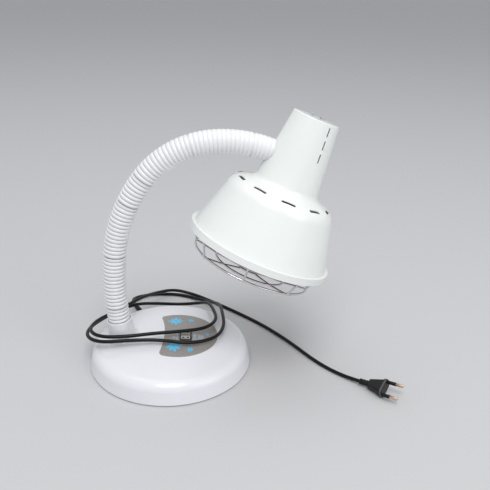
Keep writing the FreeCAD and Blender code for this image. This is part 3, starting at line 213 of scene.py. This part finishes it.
def turned(at, profile, sides=32):
    """Points and faces of a form turned about its own Z from (radius, height) in mm."""
    points = []
    for radius, height in profile:
        for i in range(sides):
            angle = 2 * math.pi * i / sides
            points.append(at @ Vector((radius * MM * math.cos(angle),
                                       radius * MM * math.sin(angle), height * MM)))
    faces = ring_faces(len(profile), sides)
    faces.append(tuple(range(sides)))
    faces.append(tuple(range(len(points) - sides, len(points))))
    return points, faces


def rounded_box(width, length, corner, steps=5):
    """Outline of a rectangle with round corners, anticlockwise about the origin."""
    outline = []
    for k, (sx, sy) in enumerate(((1, 1), (-1, 1), (-1, -1), (1, -1))):
        for i in range(steps + 1):
            angle = math.radians(90 * k + 90 * i / steps)
            outline.append((sx * (width / 2 - corner) + corner * math.cos(angle),
                            sy * (length / 2 - corner) + corner * math.sin(angle)))
    return outline


def lofted(at, width, length, corner, heights):
    """Points and faces of a block with round corners, its edges eased, sizes in mm."""
    low, high = heights
    ease = 0.25
    rings = [(low, ease), (low + ease, 0.0), (high - ease, 0.0), (high, ease)]
    points = []
    for height, inward in rings:
        outline = rounded_box(width - 2 * inward, length - 2 * inward, corner - inward)
        points += [at @ Vector((x * MM, y * MM, height * MM)) for x, y in outline]
    sides = len(points) // len(rings)
    faces = ring_faces(len(rings), sides)
    faces.append(tuple(range(sides)))
    faces.append(tuple(range(len(points) - sides, len(points))))
    return points, faces


def merged(name, forms, material):
    """One mesh object from several lots of points and faces."""
    points, faces = [], []
    for form_points, form_faces in forms:
        first = len(points)
        points += form_points
        faces += [tuple(first + i for i in face) for face in form_faces]
    return mesh_object(name, points, faces, material)


# ------------------------------------------------------------------ materials
def new_material(name):
    """A node material, with its nodes, its links and its shader."""
    material = bpy.data.materials.new(name)
    material.use_nodes = True
    nodes = material.node_tree.nodes
    return material, nodes, material.node_tree.links, nodes["Principled BSDF"]


def grained(name, colour, roughness, shade=0.04, scale=60.0, bump=0.02, fine=900.0,
            metallic=0.0, coat=0.0, specular=0.5, spread=0.06):
    """A moulded or painted surface: uneven colour, roughness and a fine grain in its bump."""
    material, nodes, links, shader = new_material(name)
    place = nodes.new("ShaderNodeTexCoord")
    broad = nodes.new("ShaderNodeTexNoise")
    broad.inputs["Scale"].default_value = scale
    broad.inputs["Detail"].default_value = 4.0
    ramp = nodes.new("ShaderNodeValToRGB")
    ramp.color_ramp.elements[0].position = 0.3
    ramp.color_ramp.elements[1].position = 0.7
    ramp.color_ramp.elements[0].color = (*[c * (1 - shade) for c in colour], 1)
    ramp.color_ramp.elements[1].color = (*colour, 1)
    rough = nodes.new("ShaderNodeMapRange")
    rough.inputs["To Min"].default_value = max(0.02, roughness - spread)
    rough.inputs["To Max"].default_value = min(1.0, roughness + spread)
    grain = nodes.new("ShaderNodeTexNoise")
    grain.inputs["Scale"].default_value = fine
    grain.inputs["Detail"].default_value = 3.0
    raised = nodes.new("ShaderNodeBump")
    raised.inputs["Strength"].default_value = bump
    raised.inputs["Distance"].default_value = 0.2 * MM
    links.new(place.outputs["Object"], broad.inputs["Vector"])
    links.new(place.outputs["Object"], grain.inputs["Vector"])
    links.new(broad.outputs["Fac"], ramp.inputs["Fac"])
    links.new(ramp.outputs["Color"], shader.inputs["Base Color"])
    links.new(broad.outputs["Fac"], rough.inputs["Value"])
    links.new(rough.outputs["Result"], shader.inputs["Roughness"])
    links.new(grain.outputs["Fac"], raised.inputs["Height"])
    links.new(raised.outputs["Normal"], shader.inputs["Normal"])
    shader.inputs["Metallic"].default_value = metallic
    shader.inputs["Specular IOR Level"].default_value = specular
    if coat:
        shader.inputs["Coat Weight"].default_value = coat
        shader.inputs["Coat Roughness"].default_value = 0.06
    return material


def ruby():
    """Dark ruby glass of the bulb."""
    material = grained("ruby_glass", (0.30, 0.006, 0.010), 0.12, shade=0.25, scale=25.0,
                       bump=0.015, fine=220.0, spread=0.04)
    shader = material.node_tree.nodes["Principled BSDF"]
    shader.inputs["Transmission Weight"].default_value = 0.55
    shader.inputs["IOR"].default_value = 1.5
    return material


def fading(material, shade, light, start, end):
    """Ease a material's painted shade from its darker colour near start to a lighter one near end,
    in X.
    """
    nodes, links = material.node_tree.nodes, material.node_tree.links
    place = nodes.new("ShaderNodeTexCoord")
    split = nodes.new("ShaderNodeSeparateXYZ")
    share = nodes.new("ShaderNodeMapRange")
    share.inputs["From Min"].default_value = start
    share.inputs["From Max"].default_value = end
    ramp = nodes.new("ShaderNodeValToRGB")
    ramp.color_ramp.elements[0].color = (*shade, 1)
    ramp.color_ramp.elements[1].color = (*light, 1)
    links.new(place.outputs["Object"], split.inputs[0])
    links.new(split.outputs["X"], share.inputs["Value"])
    links.new(share.outputs["Result"], ramp.inputs["Fac"])
    links.new(ramp.outputs["Color"], nodes["Principled BSDF"].inputs["Base Color"])


enamel = grained("white_enamel", (0.86, 0.89, 0.865), 0.22, shade=0.015, scale=18.0, bump=0.02,
                 fine=420.0, coat=0.35, spread=0.04)
shell = grained("white_shell", (0.80, 0.805, 0.845), 0.20, shade=0.015, scale=14.0, bump=0.015,
                fine=700.0, coat=0.25, spread=0.05)
sleeve_white = grained("white_sleeve", (0.84, 0.845, 0.86), 0.30, shade=0.03, scale=70.0,
                       bump=0.03, fine=900.0, spread=0.06)
# Painted shade for the foot of each groove in the sleeve and for the knuckles there: darker near
# the collar, fading to nearly the sleeve's white towards the head.
GROOVE_PAINTED_SHADE = (0.46, 0.465, 0.49)
GROOVE_FAINT_SHADE = (0.82, 0.825, 0.84)
painted_groove_shade = grained("groove_painted_shade", GROOVE_PAINTED_SHADE, 0.45, shade=0.06, scale=70.0,
                       bump=0.03, fine=900.0, spread=0.06)
fading(painted_groove_shade, GROOVE_PAINTED_SHADE, GROOVE_FAINT_SHADE, start=-50 * MM, end=40 * MM)
panel =grained("grey_panel", (0.30, 0.284, 0.268), 0.42, shade=0.06, scale=260.0, bump=0.05,
                fine=2600.0, spread=0.08)
black = grained("black_plastic", (0.022, 0.022, 0.024), 0.38, shade=0.25, scale=120.0,
                bump=0.10, fine=1500.0)
plug_black = grained("plug_black", (0.014, 0.014, 0.015), 0.42, shade=0.25, scale=120.0,
                     bump=0.10, fine=1500.0, specular=0.25)
switch_body = grained("switch_body", (0.030, 0.030, 0.034), 0.30, shade=0.2, scale=200.0,
                      bump=0.05, fine=2200.0)
key_grey = grained("switch_key", (0.33, 0.30, 0.27), 0.30, shade=0.08, scale=300.0, bump=0.05,
                   fine=2400.0, coat=0.2)
print_blue = grained("print_blue", (0.13, 0.56, 0.85), 0.42, shade=0.10, scale=700.0,
                     bump=0.03, fine=2600.0)
print_pale = grained("print_pale", (0.40, 0.46, 0.48), 0.42, shade=0.18, scale=420.0,
                     bump=0.03, fine=2600.0)
pale_rocker_rims = grained("pale_rocker_rims", (0.70, 0.70, 0.68), 0.42, shade=0.06, scale=700.0,
                      bump=0.03, fine=2600.0)
# Painted shade of the rocker's recesses and of its middle ridge.
painted_rocker_shade = grained("painted_rocker_shade", (0.035, 0.03, 0.03), 0.36, shade=0.25, scale=900.0,
                     bump=0.05, fine=2600.0)
rubber = grained("black_rubber", (0.018, 0.018, 0.018), 0.62, shade=0.3, scale=150.0, bump=0.15,
                 fine=1800.0)
sheath = grained("cord_sheath", (0.008, 0.008, 0.0085), 0.34, shade=0.25, scale=90.0, bump=0.06,
                 fine=1300.0, specular=0.22)
flange_black = grained("plug_face", (0.085, 0.082, 0.080), 0.48, shade=0.2, scale=160.0,
                       bump=0.12, fine=1700.0)
copper = grained("pin_tip", (0.74, 0.56, 0.44), 0.26, shade=0.14, scale=300.0, bump=0.04,
                 fine=1800.0, metallic=1.0)
zinc = grained("zinc", (0.60, 0.60, 0.62), 0.34, shade=0.12, scale=300.0, bump=0.05,
               fine=2000.0, metallic=1.0)
bright_zinc = grained("bright_zinc", (0.80, 0.80, 0.82), 0.20, shade=0.10, scale=300.0, bump=0.04,
                      fine=2000.0, metallic=1.0)
chrome = grained("bright_wire", (0.74, 0.73, 0.75), 0.16, shade=0.10, scale=160.0, bump=0.04,
                 fine=1400.0, metallic=1.0)
iron = grained("iron", (0.09, 0.09, 0.09), 0.6, shade=0.3, scale=140.0, bump=0.3, fine=900.0)
brass = grained("brass", (0.72, 0.52, 0.24), 0.3, shade=0.15, scale=200.0, bump=0.05,
                fine=1500.0, metallic=1.0)
porcelain = grained("porcelain", (0.80, 0.79, 0.74), 0.18, shade=0.03, scale=60.0, bump=0.02,
                    fine=500.0, coat=0.5)
aluminium = grained("aluminium", (0.72, 0.72, 0.74), 0.28, shade=0.08, scale=220.0, bump=0.05,
                    fine=1600.0, metallic=1.0)
tungsten = grained("tungsten", (0.30, 0.28, 0.26), 0.4, shade=0.2, scale=900.0, bump=0.1,
                   fine=3000.0, metallic=1.0)
glass = ruby()

NODE_MATERIALS = {
    "base_shell": shell, "label_plate": panel, "bottom_plate": black, "ballast_weight": iron,
    "foot_ring": rubber, "bottom_screws": zinc, "switch_housing": switch_body,
    "switch_terminals": brass, "rocker": key_grey, "cord_grommet": rubber,
    "inner_lead": sheath, "cord_clamp": black, "clamp_screws": zinc, "terminal_block": porcelain,
    "lower_ferrule": zinc, "lower_locknut": zinc, "upper_ferrule": zinc, "neck_saddle": zinc,
    "upper_locknut": zinc, "shade": enamel, "holder_bracket": zinc,
    "holder_screws": bright_zinc, "holder_nuts": bright_zinc,
    "lampholder_body": porcelain, "nipple_nut": zinc, "screw_shell": brass,
    "centre_contact": brass, "bulb_reflector": glass, "bulb_lens": glass, "bulb_cap": aluminium,
    "bulb_stem": glass, "filament": tungsten, "guard_spokes": chrome, "guard_rings": chrome,
    "guard_clips": zinc, "plug_body": plug_black, "plug_pins": copper}


def dress_cad():
    """Give every carried-over node its finish."""
    for name, node in frame["nodes"].items():
        material = NODE_MATERIALS.get(name, zinc)
        for k in range(len(node.material_slots)):
            node.material_slots[k].material = material


# ------------------------------------------------------------------ gooseneck sleeve
def arm_station(s):
    """Point and direction on the arm's centre line, s along it from the collar's rim."""
    heading = math.radians(ARM_LEAN)
    here = COLLAR_RIM.copy()
    left = s
    for ribs, turn in ARM_BENDS:
        if left > 0:
            radius = ribs * RIB_PITCH / math.radians(turn)
            angle = min(left / radius, math.radians(turn))
            here += radius * Vector((math.cos(heading) - math.cos(heading + angle), 0,
                                     math.sin(heading + angle) - math.sin(heading)))
            heading += angle
            left -= radius * angle
    way = Vector((math.sin(heading), 0, math.cos(heading)))
    return here + way * left, way


def head_frame():
    """Matrix of the shade: origin in the middle of its rim, Z up its neck, X from the arm."""
    end, way = arm_station(ARM_RIBS * RIB_PITCH)
    roll = math.radians(SHADE_ROLL)
    up = way.cross(SIDEWAYS) * math.cos(roll) + SIDEWAYS * math.sin(roll)
    return placed(end + way * NECK_REACH - up * ARM_ON_NECK, up, way)


HEAD = head_frame()


def neck_gap(point):
    """How far a point is from the shade's neck, below zero inside it."""
    local = HEAD.inverted() @ point
    share = (local.z - NECK_FOOT.y) / (NECK_TOP.y - NECK_FOOT.y)
    return math.hypot(local.x, local.y) - (NECK_FOOT.x + (NECK_TOP.x - NECK_FOOT.x) * share)


def clear_of_neck(point, way):
    """The point, drawn back against way until it clears the shade's neck."""
    for _ in range(NECK_PULLS):
        gap = neck_gap(point)
        if gap < NECK_CLEARANCE:
            point = point - way * (NECK_CLEARANCE - gap)
    return point


def joint_rib(number):
    """Rib that a joint lies at, counted from the collar's rim."""
    return FIRST_JOINT_RIB + LINK_RIBS * (number - 1)


def body_of(link):
    """Body that a link of the arm belongs to."""
    if link == 1:
        return "base"
    return "head" if link == LINKS else "link_%02d" % link


def sleeve_radius(rib):
    """Rounded ridges with narrow grooves between them, shallower towards the shade."""
    first, last = SHALLOW_RIBS
    share = min(1.0, max(0.0, (rib - first) / (last - first)))
    depth = (CREST - ROOT) * (1 - SHALLOW_CUT * share)
    return CREST - depth * (1 - math.sin(math.pi * (rib % 1.0)) ** RIDGE_POWER)


def knuckle_radius(rib):
    """Radius of the ball that the knuckle at a rib is part of."""
    return sleeve_radius(rib) - KNUCKLE_SINK


def sleeve_stations(first, last):
    """Where the rings of the ridges lie, in ribs, with half a groove left at a level joint."""
    half_groove = JOINT_GROOVE / 2 / RIB_PITCH
    foot = first + half_groove if first > 0 else first
    tip = last - half_groove if last < ARM_RIBS else last
    stations = [rib + phase for rib in range(first, last) for phase in RIB_PHASES]
    return [foot] + [s for s in stations if foot < s < tip] + [tip]


def inner_rings(first, foot, tip):
    """Station and radius of the rings inside: the bore, and the hollow round the knuckle."""
    if first < 0:
        return [(tip, SLEEVE_BORE), (foot, SLEEVE_BORE)]
    rings = [(tip, SLEEVE_BORE)]
    hollow = knuckle_radius(first) + KNUCKLE_GAP
    lowest = JOINT_GROOVE / 2
    highest = math.sqrt(hollow ** 2 - SLEEVE_BORE ** 2)
    for step in range(HOLLOW_STEPS, -1, -1):
        height = lowest + (highest - lowest) * step / HOLLOW_STEPS
        rings.append((first + height / RIB_PITCH, math.sqrt(hollow ** 2 - height ** 2)))
    return rings


def sleeve_piece(name, first, last):
    """Closed length of sleeve between two ribs; the one at the shade is cut to its neck."""
    stations = sleeve_stations(first, last)
    rings = [(s, sleeve_radius(s)) for s in stations]
    rings += inner_rings(first, stations[0], stations[-1])
    points = []
    for s, radius in rings:
        centre, way = arm_station(s * RIB_PITCH)
        out_way = SIDEWAYS.cross(way)
        for i in range(SLEEVE_SIDES):
            angle = 2 * math.pi * i / SLEEVE_SIDES
            around = out_way * math.cos(angle) + SIDEWAYS * math.sin(angle)
            point = centre + around * radius
            points.append(clear_of_neck(point, way) if last > ARM_RIBS else point)
    faces = ring_faces(len(rings), SLEEVE_SIDES, closed=True)
    piece = mesh_object(name, points, faces, sleeve_white, SLEEVE_SHARP)
    # The faces at the foot of each groove take the painted groove shade.
    piece.data.materials.append(painted_groove_shade)
    for face in piece.data.polygons:
        ring = face.index // SLEEVE_SIDES
        phases = [s % 1 for s in stations[ring:ring + 2]]
        if 0.0 in phases:
            face.material_index = 1
    return piece


def knuckle(number):
    """Thin ball-shaped ring under the groove at a joint, seen where bending opens the groove."""
    rib = joint_rib(number)
    centre, way = arm_station(rib * RIB_PITCH)
    at = placed(centre, way, SIDEWAYS.cross(way))
    outside = knuckle_radius(rib) / MM
    inside = outside - KNUCKLE_WALL / MM
    profile = [(math.sqrt(outside ** 2 - z ** 2), z) for z in KNUCKLE_HEIGHTS]
    profile += [(math.sqrt(inside ** 2 - z ** 2), z) for z in reversed(KNUCKLE_HEIGHTS)]
    points = turned(at, profile, SLEEVE_SIDES)[0]
    faces = ring_faces(len(profile), SLEEVE_SIDES, closed=True)
    # The knuckle takes the grooves' painted shade.
    ball = mesh_object("gooseneck_knuckle_%02d" % number, points, faces, painted_groove_shade)
    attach(ball, body_of(number))


def sleeve():
    """Lengths from one level joint to the next, each whole across the sideways joint inside it; a
    length of a single link is attached to that link's body.
    """
    cuts = [0] + list(LEVEL_JOINTS) + [LINKS]
    for low, high in zip(cuts, cuts[1:]):
        links = range(low + 1, high + 1)
        first = joint_rib(low) if low else -CUP_RIBS
        last = joint_rib(high) if high < LINKS else ARM_RIBS + SADDLE_RIBS
        piece = sleeve_piece("gooseneck_sleeve_%02d" % links[0], first, last)
        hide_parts(*["sleeve_%02d" % link for link in links])
        if len(links) == 1:
            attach(piece, body_of(links[0]))
        else:
            middle = joint_rib(links[0])
            start = arm_station((middle - BLEND_RIBS) * RIB_PITCH)[0]
            end = arm_station((middle + BLEND_RIBS) * RIB_PITCH)[0]
            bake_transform(piece)
        if low:
            knuckle(low)


# ------------------------------------------------------------------ cord
def cord():
    """Round mains cord laid about the base in two turns, with a tail to the plug."""
    curve = bpy.data.curves.new("mains_cord", "CURVE")
    curve.dimensions = "3D"
    spline = curve.splines.new("NURBS")
    spline.points.add(len(CORD_POINTS) - 1)
    for point, place in zip(spline.points, CORD_POINTS):
        point.co = (*[c * MM for c in place], 1)
    spline.order_u = 3
    spline.use_endpoint_u = True
    spline.resolution_u = 8
    curve.bevel_depth = CORD_DIAMETER / 2
    curve.bevel_resolution = 6
    curve.use_fill_caps = True
    curve.materials.append(sheath)
    piece = bpy.data.objects.new("mains_cord", curve)
    bpy.context.scene.collection.objects.link(piece)
    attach(piece, "base")
    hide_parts("cord")
    nodes = frame["nodes"]
    ([nodes["plug_body"], nodes["plug_pins"], nodes["cord_grommet"]]
            + plug_trim())


def plug_trim():
    """Insulating sleeves on the pins, their bright tips and a rib round the pin face."""
    z = (PLUG_FACE - PLUG_TAIL).normalized()
    seat = placed(PLUG_FACE, z, PLUG_ROLL)
    sleeves, tips = [], []
    for side in (-1, 1):
        at = seat @ Matrix.Translation((side * PIN_SPACING / 2, 0, 0))
        sleeves.append(turned(at, PIN_SLEEVE))
        tips.append(turned(at, PIN_TIP))
    rib = lofted(seat, *FACE_RIB)
    pieces = [merged("plug_pin_sleeves", sleeves, sheath), merged("plug_pin_tips", tips, copper),
              merged("plug_face_rib", [rib], flange_black)]
    for piece, slot in zip(pieces, ("black_plastic", "brass", "black_plastic")):
        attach(piece, "base")
    return pieces


# ------------------------------------------------------------------ printing, and painted shade on the rocker
def surface_of(node):
    """A carried-over node's surface, to drop points on."""
    mesh = frame["nodes"][node].data
    return BVHTree.FromPolygons([v.co for v in mesh.vertices], [p.vertices for p in mesh.polygons])


def print_and_shade_film(name, node, body, at, outlines, material, lift):
    """Thin film laid on a node: closed outlines in mm, dropped along the Z of a matrix."""
    surface = surface_of(node)
    down = (at.to_3x3() @ Vector((0, 0, -1))).normalized()
    points, faces = [], []
    for outline in outlines:
        middle = (sum(x for x, y in outline) / len(outline),
                  sum(y for x, y in outline) / len(outline))
        half = [((x + middle[0]) / 2, (y + middle[1]) / 2) for x, y in outline]
        first = len(points)
        for x, y in [middle] + half + list(outline):
            start = at @ Vector((x * MM, y * MM, FILM_DROP * MM))
            spot = surface.ray_cast(start, down)[0]
            points.append(spot - down * lift * MM)
        count = len(outline)
        for i in range(count):
            j = (i + 1) % count
            faces.append((first, first + 1 + i, first + 1 + j))
            faces.append((first + 1 + i, first + 1 + count + i, first + 1 + count + j,
                          first + 1 + j))
    piece = mesh_object(name, points, faces, material)
    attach(piece, body)
    return piece


def petal(x, y, angle, inner, outer, width):
    """Outline of a pointed petal that stands away from (x, y) at an angle."""
    outline = []
    for side in (1, -1):
        for k in range(PETAL_STEPS):
            t = k / PETAL_STEPS if side == 1 else 1 - k / PETAL_STEPS
            along = inner + (outer - inner) * t
            wave = min(1.0, t * (1 - PETAL_FOOT) + PETAL_FOOT)
            across = side * width / 2 * math.sin(math.pi * wave) ** PETAL_POWER
            outline.append((x + along * math.cos(angle) - across * math.sin(angle),
                            y + along * math.sin(angle) + across * math.cos(angle)))
    return outline


def panel_print():
    """Blue bursts and pale blocks on the grey panel."""
    petals = []
    for x, y, radius, count, turn in BURSTS:
        for k in range(count):
            angle = math.radians(turn) + 2 * math.pi * k / count
            reach = radius * (1.0 if k % 2 == 0 else SHORT_PETAL)
            petals.append(petal(x, y, angle, PETAL_START * radius, reach,
                                PETAL_WIDTH * radius / count))
    flat = Matrix.Translation((0, 0, PANEL_OVER * MM))
    bursts = print_and_shade_film("panel_bursts", "label_plate", "base", flat, petals, print_blue, BURST_LIFT)
    blocks = []
    for x, y, width, length in PANEL_BLOCKS:
        blocks.append([(x + u, y + v) for u, v in rounded_box(width, length, BLOCK_CORNER)])
    pale = print_and_shade_film("panel_blocks", "label_plate", "base", flat, blocks, print_pale, BLOCK_LIFT)


def rocker_shade_marks():
    """Two dark marks on each end of the rocker, each on a paler patch, and a dark line across its
    middle: the marks are painted shade of its recesses, the line painted shadow of its middle
    ridge.
    """
    tilt = Matrix.Rotation(SWITCH_ROCK, 4, "X")
    at = placed(SWITCH, SWITCH_UP, Vector((1, 0, 0))) @ tilt
    light, dark = [], []
    for x, y in MARK_PLACES:
        light.append([(x + u, y + v) for u, v in rounded_box(*OUTLINE_SIZE)])
        dark.append([(x + u, y + v) for u, v in rounded_box(*RECESS_SHADE_SIZE)])
    dark.append(rounded_box(*RIDGE_SHADOW_SIZE))
    for name, outlines, material, lift in (("rocker_outlines", light, pale_rocker_rims, OUTLINE_LIFT),
                                           ("rocker_painted_shade", dark, painted_rocker_shade, SHADE_FILM_LIFT)):
        piece = print_and_shade_film(name, "rocker", "rocker", at, outlines, material, lift)


# ------------------------------------------------------------------ stage
def make_camera():
    """The camera, placed by its way and its up."""
    data = bpy.data.cameras.new("camera")
    data.sensor_width = SENSOR
    data.lens = CAMERA_LENS
    camera = bpy.data.objects.new("camera", data)
    right = CAMERA_WAY.cross(CAMERA_UP)
    turn = Matrix((right, CAMERA_UP, -CAMERA_WAY)).transposed().to_4x4()
    camera.matrix_world = Matrix.Translation(CAMERA_PLACE) @ turn
    bpy.context.scene.collection.objects.link(camera)
    bpy.context.scene.camera = camera


def make_floor():
    """Plain pale paper on the surface that the lamp stands on."""
    corners = ((-1, -1), (1, -1), (1, 1), (-1, 1))
    points = [(x * FLOOR_REACH, y * FLOOR_REACH, 0) for x, y in corners]
    material, _, _, shader = new_material("floor_paper")
    shader.inputs["Base Color"].default_value = (0.58, 0.58, 0.59, 1)
    shader.inputs["Roughness"].default_value = 0.75
    shader.inputs["Specular IOR Level"].default_value = 0.2
    floor = mesh_object("floor", points, [(0, 1, 2, 3)], material)


def make_world():
    """Soft light from all round, and a pale background in view and in reflections."""
    world = bpy.data.worlds.new("studio")
    bpy.context.scene.world = world
    world.use_nodes = True
    nodes, links = world.node_tree.nodes, world.node_tree.links
    light = nodes["Background"]
    light.inputs["Color"].default_value = (0.95, 0.97, 1.0, 1)
    light.inputs["Strength"].default_value = AMBIENT
    backdrop = nodes.new("ShaderNodeBackground")
    backdrop.inputs["Color"].default_value = (0.66, 0.665, 0.675, 1)
    backdrop.inputs["Strength"].default_value = 1.0
    path = nodes.new("ShaderNodeLightPath")
    seen = nodes.new("ShaderNodeMath")
    seen.operation = "MAXIMUM"
    through = nodes.new("ShaderNodeMath")
    through.operation = "MAXIMUM"
    mix = nodes.new("ShaderNodeMixShader")
    links.new(path.outputs["Is Camera Ray"], seen.inputs[0])
    links.new(path.outputs["Is Glossy Ray"], seen.inputs[1])
    links.new(seen.outputs[0], through.inputs[0])
    links.new(path.outputs["Is Transmission Ray"], through.inputs[1])
    links.new(through.outputs[0], mix.inputs["Fac"])
    links.new(light.outputs[0], mix.inputs[1])
    links.new(backdrop.outputs[0], mix.inputs[2])
    links.new(mix.outputs[0], nodes["World Output"].inputs["Surface"])


def soft_light(name, place, target, size, power):
    """Round area light, turned to its target."""
    data = bpy.data.lights.new(name, "AREA")
    data.shape = "DISK"
    data.size = size
    data.energy = power
    lamp = bpy.data.objects.new(name, data)
    lamp.location = place
    way = Vector(target) - Vector(place)
    lamp.rotation_euler = way.to_track_quat("-Z", "Y").to_euler()
    bpy.context.scene.collection.objects.link(lamp)


# ------------------------------------------------------------------ all together
make_camera()
cord()
dress_cad()
sleeve()
panel_print()
rocker_shade_marks()
make_floor()
make_world()
for lamp in LIGHTS:
    soft_light(*lamp)

bpy.context.scene.view_settings.view_transform = "Standard"
